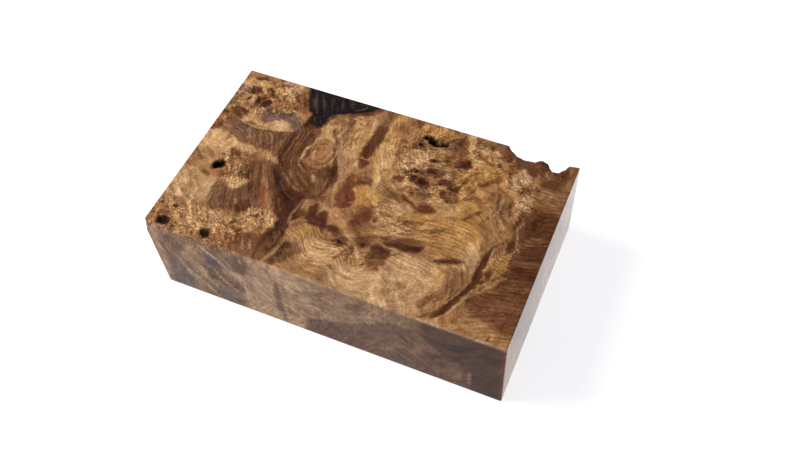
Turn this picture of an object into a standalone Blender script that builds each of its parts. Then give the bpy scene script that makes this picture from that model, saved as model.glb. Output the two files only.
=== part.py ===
"""Stabilized burl block: one sawn and sanded block of burl wood, filled with clear resin.

Metres, +Z up. The origin is the middle of the underside. +X runs along the length, towards the
end with the natural edge, and +Y runs from the long front face to the back.
Places on the block are given as (along, across): along from the left end, across from the front.
"""

import bmesh
import bpy
from math import radians
from mathutils import Matrix, Vector, noise

MM = 0.001

# Driving dimensions of the sawn block
LENGTH = 127.0 * MM
WIDTH = 75.0 * MM
THICK_LEFT = 36.6 * MM
THICK_RIGHT = 35.6 * MM
ARRIS = 0.5 * MM
ARRIS_STEPS = 2

# The worn front left corner: how far one plane cuts it back along each arris
WORN_ALONG = 1.8 * MM
WORN_ACROSS = 1.6 * MM
WORN_DOWN = 6.5 * MM

# Natural edge, the burl's own outer surface, from the notch to the right end.
# Each row in millimetres: along, where the flat top ends across, and the drop at the back face.
NATURAL_EDGE = (
    (101.9, 74.0, 2.0),
    (103.6, 72.6, 3.8),
    (105.5, 70.6, 5.0),
    (107.5, 68.3, 5.3),
    (111.0, 66.5, 4.6),
    (114.0, 65.6, 2.7),
    (115.8, 66.0, 3.5),
    (117.2, 68.0, 6.6),
    (118.8, 69.1, 10.0),
    (120.8, 69.3, 11.0),
    (122.2, 71.0, 8.0),
    (123.6, 73.7, 2.4),
    (127.0, 74.2, 1.2),
)
EDGE_ROUNDING = 1.25
LUMP_HEIGHT = 0.35 * MM
LUMP_SIZE = 3.4 * MM

# The cutter that leaves the natural edge: how far it runs past the block and in over the sawn top,
# how steeply it rises clear of the top there, its cell and its own top
CUTTER_PAST = 2.0 * MM
CUTTER_STARTS = 62.0 * MM
CUTTER_RISE = 0.7
CUTTER_CELL = 1.0 * MM
CUTTER_TOP = 46.0 * MM

# Open hollows in the top. Each row in millimetres: along, across, half length, half width,
# depth, and its turn in degrees
HOLLOWS = (
    (74.5, 68.1, 1.7, 0.9, 2.6, 20.0),
    (77.4, 66.8, 2.3, 1.4, 4.2, -14.0),
    (80.4, 66.9, 1.9, 1.0, 3.2, 8.0),
    (11.4, 30.6, 2.4, 1.5, 2.6, 58.0),
    (6.1, 2.9, 1.9, 1.4, 0.8, 20.0),
    (21.9, 3.5, 1.7, 1.4, 0.8, -25.0),
)
HOLLOW_FINENESS = 2

PLANE_TOLERANCE = 1e-7

# Honey brown wood with a satin, resin-filled face
WOOD_COLOUR = (0.27, 0.13, 0.055, 1.0)
WOOD_ROUGHNESS = 0.35


def clear_scene():
    for old in list(bpy.data.objects):
        bpy.data.objects.remove(old, do_unlink=True)


def new_collection(name):
    collection = bpy.data.collections.new(name)
    bpy.context.scene.collection.children.link(collection)
    return collection


def new_object(name, shape, collection):
    """Turn a bmesh into a named object in a collection."""
    mesh = bpy.data.meshes.new(name)
    bmesh.ops.recalc_face_normals(shape, faces=shape.faces)
    shape.to_mesh(mesh)
    shape.free()
    made = bpy.data.objects.new(name, mesh)
    collection.objects.link(made)
    return made


def top_height(along):
    """Height of the sawn top, which falls slightly towards the right end."""
    return THICK_LEFT + (THICK_RIGHT - THICK_LEFT) * along / LENGTH


def in_frame(along, across, height):
    return Vector((along - LENGTH / 2, across - WIDTH / 2, height))


def natural_edge_at(along):
    """Where the flat top ends and how far the back has dropped, between the rows of the table."""
    position = along / MM
    rows = NATURAL_EDGE
    if position <= rows[0][0]:
        return rows[0][1] * MM, rows[0][2] * MM
    for (left, flat_a, drop_a), (right, flat_b, drop_b) in zip(rows, rows[1:]):
        if position <= right:
            share = (position - left) / (right - left)
            share = share * share * (3 - 2 * share)
            return (flat_a + (flat_b - flat_a) * share) * MM, (drop_a + (drop_b - drop_a) * share) * MM
    return rows[-1][1] * MM, rows[-1][2] * MM


def natural_surface(along, across):
    """Height of the burl's outer surface. In front of its edge it runs up clear of the sawn top."""
    flat_ends, drop = natural_edge_at(along)
    past = across - flat_ends
    if past <= 0:
        return top_height(along) - CUTTER_RISE * past
    share = past / (WIDTH - flat_ends)
    lump = noise.noise(Vector((along, across, 0)) / LUMP_SIZE) * min(1.0, past / LUMP_SIZE)
    return top_height(along) - drop * share ** EDGE_ROUNDING + LUMP_HEIGHT * lump


def sawn_block(collection):
    """The box that the saw left, its top slightly tapered and its front left corner worn off."""
    shape = bmesh.new()
    bmesh.ops.create_cube(shape, size=1.0)
    bmesh.ops.scale(shape, vec=(LENGTH, WIDTH, THICK_LEFT), verts=shape.verts)
    bmesh.ops.translate(shape, vec=(0, 0, THICK_LEFT / 2), verts=shape.verts)
    for vert in shape.verts:
        if vert.co.z > THICK_LEFT / 2:
            vert.co.z = top_height(vert.co.x + LENGTH / 2)

    corner = in_frame(0, 0, THICK_LEFT)
    ends = (corner + Vector((WORN_ALONG, 0, 0)),
            corner + Vector((0, WORN_ACROSS, 0)),
            corner + Vector((0, 0, -WORN_DOWN)))
    outward = (ends[2] - ends[0]).cross(ends[1] - ends[0]).normalized()
    if outward.dot(corner - ends[0]) < 0:
        outward.negate()
    everything = shape.verts[:] + shape.edges[:] + shape.faces[:]
    cut = bmesh.ops.bisect_plane(shape, geom=everything, dist=PLANE_TOLERANCE, plane_co=ends[0],
                                 plane_no=outward, clear_outer=True)
    rim = [part for part in cut["geom_cut"] if isinstance(part, bmesh.types.BMEdge)]
    bmesh.ops.holes_fill(shape, edges=rim, sides=0)

    block = new_object("burl_block", shape, collection)
    bevel = block.modifiers.new("sanded arrises", "BEVEL")
    bevel.width = ARRIS
    bevel.segments = ARRIS_STEPS
    bevel.limit_method = "ANGLE"
    return block


def natural_edge_cutter(collection):
    """What the burl never filled: everything outside its outer surface, at the back right."""
    first = NATURAL_EDGE[0][0] * MM
    run = LENGTH + CUTTER_PAST - first
    depth = WIDTH + CUTTER_PAST - CUTTER_STARTS
    shape = bmesh.new()
    bmesh.ops.create_grid(shape, x_segments=round(run / CUTTER_CELL),
                          y_segments=round(depth / CUTTER_CELL), size=0.5)
    for vert in shape.verts:
        along = first + (vert.co.x + 0.5) * run
        across = CUTTER_STARTS + (vert.co.y + 0.5) * depth
        vert.co = in_frame(along, across, natural_surface(along, across))
    raised = bmesh.ops.extrude_face_region(shape, geom=shape.faces[:])
    for part in raised["geom"]:
        if isinstance(part, bmesh.types.BMVert):
            part.co.z = CUTTER_TOP
    return new_object("natural_edge_cutter", shape, collection)


def hollow_cutter(number, row, collection):
    """One squashed ball, centred on the top, that opens a hollow of the stated depth."""
    along, across, half_length, half_width, depth = (value * MM for value in row[:5])
    shape = bmesh.new()
    bmesh.ops.create_icosphere(shape, subdivisions=HOLLOW_FINENESS, radius=1.0)
    bmesh.ops.scale(shape, vec=(half_length, half_width, depth), verts=shape.verts)
    turn = Matrix.Rotation(radians(row[5]), 4, "Z")
    bmesh.ops.transform(shape, matrix=turn, verts=shape.verts)
    bmesh.ops.translate(shape, vec=in_frame(along, across, top_height(along)), verts=shape.verts)
    return new_object("hollow_cutter_%d" % number, shape, collection)


def cut_away(block, cutter):
    """Take a cutter out of the block, and keep the cutter out of renders."""
    cutter.hide_render = True
    cutter.display_type = "WIRE"
    cut = block.modifiers.new(cutter.name, "BOOLEAN")
    cut.operation = "DIFFERENCE"
    cut.object = cutter
    cut.solver = "EXACT"


def burl_wood():
    material = bpy.data.materials.new("stabilized burl wood")
    material.use_nodes = True
    shader = material.node_tree.nodes["Principled BSDF"]
    shader.inputs["Base Color"].default_value = WOOD_COLOUR
    shader.inputs["Roughness"].default_value = WOOD_ROUGHNESS
    shader.inputs["Metallic"].default_value = 0.0
    material.diffuse_color = WOOD_COLOUR
    return material


clear_scene()
parts = new_collection("stabilized_burl_block")
cutters = new_collection("cutters")

burl_block = sawn_block(parts)
burl_block.data.materials.append(burl_wood())
cut_away(burl_block, natural_edge_cutter(cutters))
for index, hollow in enumerate(HOLLOWS):
    cut_away(burl_block, hollow_cutter(index + 1, hollow, cutters))
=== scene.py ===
from math import ceil, cos, pi, radians, sin

import bmesh
import bpy
import numpy as np
from mathutils import Matrix, Vector, noise


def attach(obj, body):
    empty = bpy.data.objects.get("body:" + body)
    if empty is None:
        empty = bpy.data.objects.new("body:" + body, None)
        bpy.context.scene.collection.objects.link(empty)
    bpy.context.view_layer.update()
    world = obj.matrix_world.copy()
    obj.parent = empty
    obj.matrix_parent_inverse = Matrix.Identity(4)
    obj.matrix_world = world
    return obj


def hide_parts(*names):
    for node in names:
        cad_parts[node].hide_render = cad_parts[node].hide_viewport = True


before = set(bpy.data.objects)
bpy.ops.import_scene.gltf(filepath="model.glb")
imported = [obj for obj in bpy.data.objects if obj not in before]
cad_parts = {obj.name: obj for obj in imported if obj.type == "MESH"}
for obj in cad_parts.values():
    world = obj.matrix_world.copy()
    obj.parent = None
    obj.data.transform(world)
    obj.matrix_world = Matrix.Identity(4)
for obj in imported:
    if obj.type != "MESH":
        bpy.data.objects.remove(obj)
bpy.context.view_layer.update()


# The block: one piece of burl wood, sawn on five sides, sanded, soaked with clear resin and cured.
# Its back right corner keeps the burl's own outer surface, and small hollows are open in its top.
# Places on it are in millimetres: along from the left end, across from the front, and height.
MM = 0.001
LENGTH, WIDTH = 127.0, 75.0
THICK_LEFT, THICK_RIGHT = 36.6, 35.6
ARRIS = 0.5

# Cells along, across and up. The first and last few on each side are narrow and turn the arris
CELLS = (148, 88, 44)
ARRIS_CELLS = 3

# The cells of the top lie at half a unit above the middle of the unit cube
TOP_LEVEL = 0.4999


def sawn_cells():
    """A closed unit cube of square cells, with the cells of its top halved."""
    shape = bmesh.new()
    sides = ((0, 1, Matrix.Identity(4)),
             (0, 1, Matrix.Rotation(pi, 4, "X")),
             (0, 2, Matrix.Rotation(pi / 2, 4, "X")),
             (0, 2, Matrix.Rotation(-pi / 2, 4, "X")),
             (2, 1, Matrix.Rotation(pi / 2, 4, "Y")),
             (2, 1, Matrix.Rotation(-pi / 2, 4, "Y")))
    for wide, high, turn in sides:
        bmesh.ops.create_grid(shape, x_segments=CELLS[wide], y_segments=CELLS[high], size=0.5,
                              matrix=turn @ Matrix.Translation((0, 0, 0.5)))
    bmesh.ops.remove_doubles(shape, verts=shape.verts, dist=0.0005)
    on_top = [edge for edge in shape.edges if min(vert.co.z for vert in edge.verts) > TOP_LEVEL]
    bmesh.ops.subdivide_edges(shape, edges=on_top, cuts=1, use_grid_fill=True)
    bmesh.ops.recalc_face_normals(shape, faces=shape.faces)
    return shape


def smooth(share):
    """Ease a share gently in and out between 0 and 1."""
    share = np.clip(share, 0, 1)
    return share * share * (3 - 2 * share)


def spread(unit, cells, size):
    """Place a unit position so that the outer cells share out the arris."""
    from_cells = (0, ARRIS_CELLS, cells - ARRIS_CELLS, cells)
    return np.interp((unit + 0.5) * cells, from_cells, (0, ARRIS, size - ARRIS, size))


def top_height(along):
    """Height of the sawn top, which falls slightly towards the right end."""
    return THICK_LEFT + (THICK_RIGHT - THICK_LEFT) * along / LENGTH


def lumps(points, size, seed):
    """Smooth random heights from -1 to 1, one for each point, with lumps of that size."""
    offset = 17.3 * seed
    return np.array([noise.noise((x / size + offset, y / size - offset, z / size)) for x, y, z in points])


shape = sawn_cells()
unit = np.array([vert.co for vert in shape.verts])
block = np.empty_like(unit)
block[:, 0] = spread(unit[:, 0], CELLS[0], LENGTH)
block[:, 1] = spread(unit[:, 1], CELLS[1], WIDTH)
thick = top_height(block[:, 0])
block[:, 2] = spread(unit[:, 2], CELLS[2], THICK_LEFT) * thick / THICK_LEFT
on_top = unit[:, 2] > TOP_LEVEL

# Rounded arrises: the distance from an inner box becomes the radius
far_sides = np.stack((np.full_like(thick, LENGTH), np.full_like(thick, WIDTH), thick), 1)
inner = np.clip(block, ARRIS, far_sides - ARRIS)
outward = block - inner
reach = np.linalg.norm(outward, axis=1, keepdims=True)
block = inner + outward / np.maximum(reach, 1e-6) * ARRIS

# The sander has bowed the front arris in a little
bowed = smooth((block[:, 0] - 8) / 9) * smooth((50 - block[:, 0]) / 12)
near_front = smooth((2.4 - block[:, 1]) / 2.4) * smooth((block[:, 2] - thick + 2.6) / 2.6)
block[:, 1] += 0.5 * bowed * near_front

# The worn front left corner, cut back by one plane
worn = np.array(((1.8, 0, THICK_LEFT), (0, 1.6, THICK_LEFT), (0, 0, THICK_LEFT - 6.5)))
worn_normal = -np.cross(worn[1] - worn[0], worn[2] - worn[0])
worn_normal /= np.linalg.norm(worn_normal)
if worn_normal @ (np.array((0, 0, THICK_LEFT)) - worn[0]) < 0:
    worn_normal = -worn_normal
past = np.maximum((block - worn[0]) @ worn_normal, 0)
block -= past[:, None] * worn_normal

# Natural edge: along, where the flat top ends across, and the drop at the back face
NATURAL_EDGE = np.array((
    (101.9, 74.0, 2.0), (103.6, 72.6, 3.8), (105.5, 70.6, 5.0), (107.5, 68.3, 5.3),
    (111.0, 66.5, 4.6), (114.0, 65.6, 2.7), (115.8, 66.0, 3.5), (117.2, 68.0, 6.6),
    (118.8, 69.1, 10.0), (120.8, 69.3, 11.0), (122.2, 71.0, 8.0), (123.6, 73.7, 2.4),
    (127.0, 74.2, 1.2)))
EDGE_ROUNDING = 1.25


def natural_drop(along, across):
    """How far the burl's outer surface lies below the sawn top, and how far past its edge."""
    rows = NATURAL_EDGE
    left = np.clip(np.searchsorted(rows[:, 0], along) - 1, 0, len(rows) - 2)
    share = smooth((along - rows[left, 0]) / (rows[left + 1, 0] - rows[left, 0]))
    flat_ends = rows[left, 1] + (rows[left + 1, 1] - rows[left, 1]) * share
    drop = rows[left, 2] + (rows[left + 1, 2] - rows[left, 2]) * share
    past = np.where(along >= rows[0, 0] - 0.2, np.maximum(across - flat_ends, 0), 0)
    return drop * (past / (WIDTH - flat_ends)) ** EDGE_ROUNDING, past


drop, past_edge = natural_drop(block[:, 0], block[:, 1])
flat = block * (1, 1, 0)
lumpy = 0.35 * lumps(flat, 3.4, 0) + 0.13 * lumps(flat, 1.1, 1)
lowered = drop - lumpy * np.minimum(1, past_edge / 3.4)
block[:, 2] -= np.where(past_edge > 0, lowered * block[:, 2] / thick, 0)

# Open hollows: along, across, half length, half width, depth, and turn in degrees
HOLLOWS = (
    (74.5, 68.1, 1.7, 0.9, 2.6, 20.0), (77.4, 66.8, 2.3, 1.4, 4.2, -14.0),
    (80.4, 66.9, 1.9, 1.0, 3.2, 8.0), (11.4, 30.6, 2.4, 1.5, 2.6, 58.0),
    (6.1, 2.9, 1.9, 1.4, 0.8, 20.0), (21.9, 3.5, 1.7, 1.4, 0.8, -25.0))
hollow = np.zeros(len(block))
hollow_black_and_shade = np.zeros(len(block))
speckled = np.zeros(len(block))
for along, across, half_length, half_width, deep, turn in HOLLOWS:
    right = block[:, 0] - along
    back = block[:, 1] - across
    c, s = cos(radians(turn)), sin(radians(turn))
    wander = 1 + 0.6 * lumps(flat, 1.2, 2) + 0.45 * lumps(flat, 0.6, 13)
    round_off = ((right * c + back * s) / half_length) ** 2 + ((back * c - right * s) / half_width) ** 2
    round_off = round_off * wander
    sunk = deep * np.sqrt(np.clip(1 - round_off, 0, 1)) * on_top
    hollow = np.maximum(hollow, sunk)
    stain = smooth((1.7 - round_off) / 0.9) * on_top
    # Deep hollows are painted black, their dark wood and painted shade; shallow pits get plum specks
    if deep > 1:
        hollow_black_and_shade = np.maximum(hollow_black_and_shade, stain)
    else:
        speckled = np.maximum(speckled, smooth((2.4 - round_off) / 1.6) * on_top)
block[:, 2] -= hollow * (1 + 0.35 * lumps(flat, 0.7, 14))

# Where each point of the wood's surface lies in the wood: the figure is traced on the top, and
# deeper down the growth layers lean to the right and back and wander more
depth = np.maximum(thick - block[:, 2], 0) * np.where(past_edge > 0, 0.5, 1)
wander_share = smooth(depth / 16)[:, None]
wandered = np.stack((lumps(block, 21, 3), lumps(block, 21, 4)), 1) * 9 * wander_share
figure = block[:, :2] + depth[:, None] * (0.22, -0.42) + wandered


# The growth lines: the burl laid down thin yearly layers round many buds, so the sawn faces show
# wavy lines about a millimetre apart. They are traced as strokes with the younger wood on their
# left, and a smooth height map is fitted to them: its contours are the growth lines.
GROWTH = (
    ((1, 64), (6, 56)), ((9, 68), (14, 58)), ((2, 73), (8, 70)), ((16, 72), (22, 62)),
    ((0, 38.5), (5, 40), (10, 42)), ((0, 33), (6, 34), (12, 37)), ((0, 30), (4, 27)), ((3, 24), (8, 17)),
    ((12, 50), (16.5, 42)), ((18, 50), (22, 42)), ((24, 50), (28, 42)),
    ((9.5, 51.3), (16, 50.5), (24, 52), (29, 53.5)),
    ((31, 57), (31.3, 46), (31.5, 40)), ((34.5, 56), (33.8, 48), (33.5, 42), (36, 36), (42, 31), (46, 29)),
    ((39.5, 52), (37.3, 48), (36.7, 43), (38, 40.5), (41, 38.5)),
    ((28, 73), (31, 66), (34, 59)), ((35, 72), (38, 63)), ((41, 66.5), (50, 71.5)), ((44, 74), (46, 70)),
    ((42, 59), (45, 54), (47.5, 49), (50, 43), (52, 38)), ((50.5, 50), (52, 44), (54, 38)),
    ((47, 66), (48, 58), (50, 50)), ((58, 74), (57.5, 66), (57, 60), (57.3, 52)),
    ((62, 74), (62, 66), (61.5, 60)),
    ((61, 58), (63, 53), (64.5, 48), (66, 42), (67, 36)), ((65, 50), (66, 46), (68, 42), (70, 39)),
    ((68, 44), (71, 42.5), (75, 40), (79, 38.5), (85, 37.5)), ((70, 74), (72, 68), (74, 62)),
    ((76, 60.5), (80, 62), (84.5, 64.5)), ((84.5, 61.3), (88, 62), (91, 64), (95, 66), (98, 66.8)),
    ((84, 56.3), (87, 57.7), (90, 58.8), (93, 58.5)), ((86, 73), (88, 66), (89.5, 62)),
    ((98, 58), (102, 50), (104, 44)), ((107, 54), (108, 48), (109, 44), (111.5, 40.5)),
    ((117, 46), (116, 42), (117, 38)), ((117, 53), (127, 56)), ((117, 60), (127, 63)),
    ((118, 42), (127, 45)),
    ((104, 73), (106, 66), (109, 58)), ((108, 71), (112, 68.5), (116, 68)), ((96, 46), (102, 41)),
    ((15.5, 24), (16, 20), (15.8, 16), (18, 12.7), (22, 12)), ((17, 35), (21, 28), (23, 22), (26, 16)),
    ((23, 36), (26, 30), (29, 23), (32, 17)), ((29.5, 36), (33, 33), (36, 30), (40, 28), (44, 24)),
    ((34, 22), (38, 16), (42, 12)), ((45.8, 27), (44.6, 19.7), (47.3, 12), (46, 4)),
    ((5, 12), (14, 9), (22, 7)),
    ((24, 8), (30, 3)), ((33, 8), (40, 2)), ((50, 40), (50.5, 34), (52, 28)),
    ((53, 38), (54, 33), (56, 29.5)),
    ((46, 12), (51, 16), (56.5, 10), (64, 16)), ((46, 7), (51, 10), (56.5, 5), (64, 11)),
    ((58, 30), (62, 25), (66, 22), (70, 19)), ((66, 36), (72, 34), (78, 33), (86, 33)),
    ((68, 13), (70, 8), (72, 6.5), (74.5, 8), (76, 13)),
    ((68, 20), (74, 22.5), (86, 28)), ((78, 22), (82, 24.5), (90, 25.5)),
    ((84, 16), (92, 19), (100, 22), (103, 23)), ((105.4, 22), (107.2, 19), (108.6, 15)),
    ((84, 24), (92, 27), (100, 30), (103.6, 31.2)), ((104.6, 31), (106.4, 28.6), (107.6, 25)),
    ((84, 20), (94, 23.6), (103, 26.6)), ((84, 28), (94, 31.6), (104, 35)),
    ((88, 13.6), (94, 16), (101, 19)), ((104, 36), (107.4, 32), (109, 27)),
    ((86, 31), (94, 34), (102, 37)), ((106.6, 37), (108.8, 33), (110, 29)),
    ((86, 35), (94, 37.6), (101, 40)), ((84, 12), (87, 3)), ((92, 12), (95, 3)),
    ((111.2, 32), (110, 28), (109.5, 25), (110, 19), (108, 14)),
    ((107.3, 14), (106, 10), (104.5, 6), (102.5, 3)),
    ((111, 2), (119, 5), (127, 8)), ((112, 14), (120, 17), (127, 19)), ((113, 27), (120, 30), (127, 33)),
    ((97, 14), (100, 9), (102, 5)),
    ((20, -4), (24, -9)), ((60, -6), (64, -9)), ((100, -6), (104, -9)), ((20, 84), (24, 78)),
    ((60, 84), (64, 78)), ((100, 82), (104, 78)))
FIGURE_CELL = 0.5
FIGURE_FROM = np.array((-16.0, -12.0))
FIGURE_CELLS = (324, 240)
GUIDE_REACH = 1.4


def flowing(path, step=0.7):
    """A path of places as a smooth curve through them, in short steps."""
    path = np.asarray(path, float)
    if len(path) < 2:
        return path
    ends = np.vstack((2 * path[0] - path[1], path, 2 * path[-1] - path[-2]))
    found = []
    for a, b, c, d in zip(ends, ends[1:], ends[2:], ends[3:]):
        t = np.linspace(0, 1, max(2, ceil(np.linalg.norm(c[:2] - b[:2]) / step)), endpoint=False)[:, None]
        found.append(0.5 * (2 * b + (c - a) * t + (2 * a - 5 * b + 4 * c - d) * t ** 2
                            + (3 * b - a - 3 * c + d) * t ** 3))
    return np.vstack((*found, path[-1:]))


def guide_field():
    """The direction across the growth lines on a grid, as drawn out from the strokes."""
    at, towards = [], []
    for stroke in GROWTH:
        line = flowing(stroke, 1.5)
        steps = np.diff(line, axis=0)
        steps /= np.linalg.norm(steps, axis=1, keepdims=True)
        at.append((line[1:] + line[:-1]) / 2)
        towards.append(np.stack((-steps[:, 1], steps[:, 0]), 1))
    at, towards = np.vstack(at), np.vstack(towards)
    a = FIGURE_FROM[0] + (np.arange(FIGURE_CELLS[0]) + 0.5) * FIGURE_CELL
    b = FIGURE_FROM[1] + (np.arange(FIGURE_CELLS[1]) + 0.5) * FIGURE_CELL
    field = np.empty((*FIGURE_CELLS, 2))
    for row, place in enumerate(a):
        apart = (place - at[:, 0])[None] ** 2 + (b[:, None] - at[:, 1][None]) ** 2
        weight = 1 / (apart + GUIDE_REACH ** 2) ** 1.7
        field[row] = weight @ towards / weight.sum(1, keepdims=True)
    return field / np.maximum(np.linalg.norm(field, axis=2, keepdims=True), 0.35)


def height_map(field):
    """The height map whose slope comes nearest to the field, by cosine series."""
    across_a = np.zeros(FIGURE_CELLS)
    across_b = np.zeros(FIGURE_CELLS)
    between_a = (field[1:, :, 0] + field[:-1, :, 0]) / 2 * FIGURE_CELL
    between_b = (field[:, 1:, 1] + field[:, :-1, 1]) / 2 * FIGURE_CELL
    across_a[:-1] += between_a
    across_a[1:] -= between_a
    across_b[:, :-1] += between_b
    across_b[:, 1:] -= between_b
    spread_out = across_a + across_b
    mirrored = np.hstack((spread_out, spread_out[:, ::-1]))
    mirrored = np.vstack((mirrored, mirrored[::-1]))
    waves_a = 2 - 2 * np.cos(np.pi * np.arange(2 * FIGURE_CELLS[0]) / FIGURE_CELLS[0])
    waves_b = 2 - 2 * np.cos(np.pi * np.arange(2 * FIGURE_CELLS[1]) / FIGURE_CELLS[1])
    bend = waves_a[:, None] + waves_b[None]
    bend[0, 0] = 1
    found = np.real(np.fft.ifft2(np.fft.fft2(mirrored) / -bend))
    return found[:FIGURE_CELLS[0], :FIGURE_CELLS[1]]


def on_map(values, places):
    """The map's value at each place, between its cells."""
    cell = (places - FIGURE_FROM) / FIGURE_CELL - 0.5
    cell = np.clip(cell, 0, np.array(FIGURE_CELLS) - 1.001)
    low = cell.astype(int)
    share = cell - low
    i, j = low.T
    a, b = share.T
    if values.ndim > 2:
        a, b = a[:, None], b[:, None]
    return ((values[i, j] * (1 - a) + values[i + 1, j] * a) * (1 - b)
            + (values[i, j + 1] * (1 - a) + values[i + 1, j + 1] * a) * b)


across_grain = guide_field()
rings = height_map(across_grain)
along_grain = height_map(np.stack((across_grain[:, :, 1], -across_grain[:, :, 0]), 2))

ring = on_map(rings, figure)
grain = on_map(along_grain, figure)
uphill = on_map(across_grain, figure)


# The wood's colours: honey to brown burl, darker and plum where buds and bark stains crowd, pale
# and gold where the layers run flat. Each mark below is a brush stroke of one wood tone, from
# broad soft areas to thin lines, laid over the plain wood in the order written.
def linear(code):
    """A colour as sRGB hex, turned to the linear values that Blender uses."""
    values = np.array([int(code[i:i + 2], 16) / 255 for i in (0, 2, 4)])
    return np.where(values <= 0.04045, values / 12.92, ((values + 0.055) / 1.055) ** 2.4)


# Some tones stand for light: a painted highlight on the bark's edge, a painted reflection of the floor on
# the right end, the painted haze of reflection in the front face's base tone, and a pale tone that also
# paints the highlight on the top front arris
TONES = {
    "plain": "9C7048", "black": "17110F", "bark": "221A19", "ash": "4C3E3A", "plum": "4C291C",
    "maroon": "6B3B27",
    "brown": "69412A", "mid": "82593A", "olive": "6A4A2B", "caramel": "A0704A", "gold": "C09466",
    "bright": "BD8B50",
    "orange": "A8683C", "red": "84462A", "cream": "D2AC80", "straw": "C69D72", "pink": "BC9072",
    "grey": "6E5446",
    "glint": "6A6A60", "band": "6E4A33", "field": "6C4933", "stripe": "5A351F", "deep": "54301E",
    "haze": "82644B",
    "tan": "A68567", "dusk": "624637", "night": "3A2318", "slate": "54484A", "arris": "B39477",
    "line": "8E6A48", "painted_end_reflection": "C4AEA0", "soot": "311B15", "honey": "B0804A"}

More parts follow.
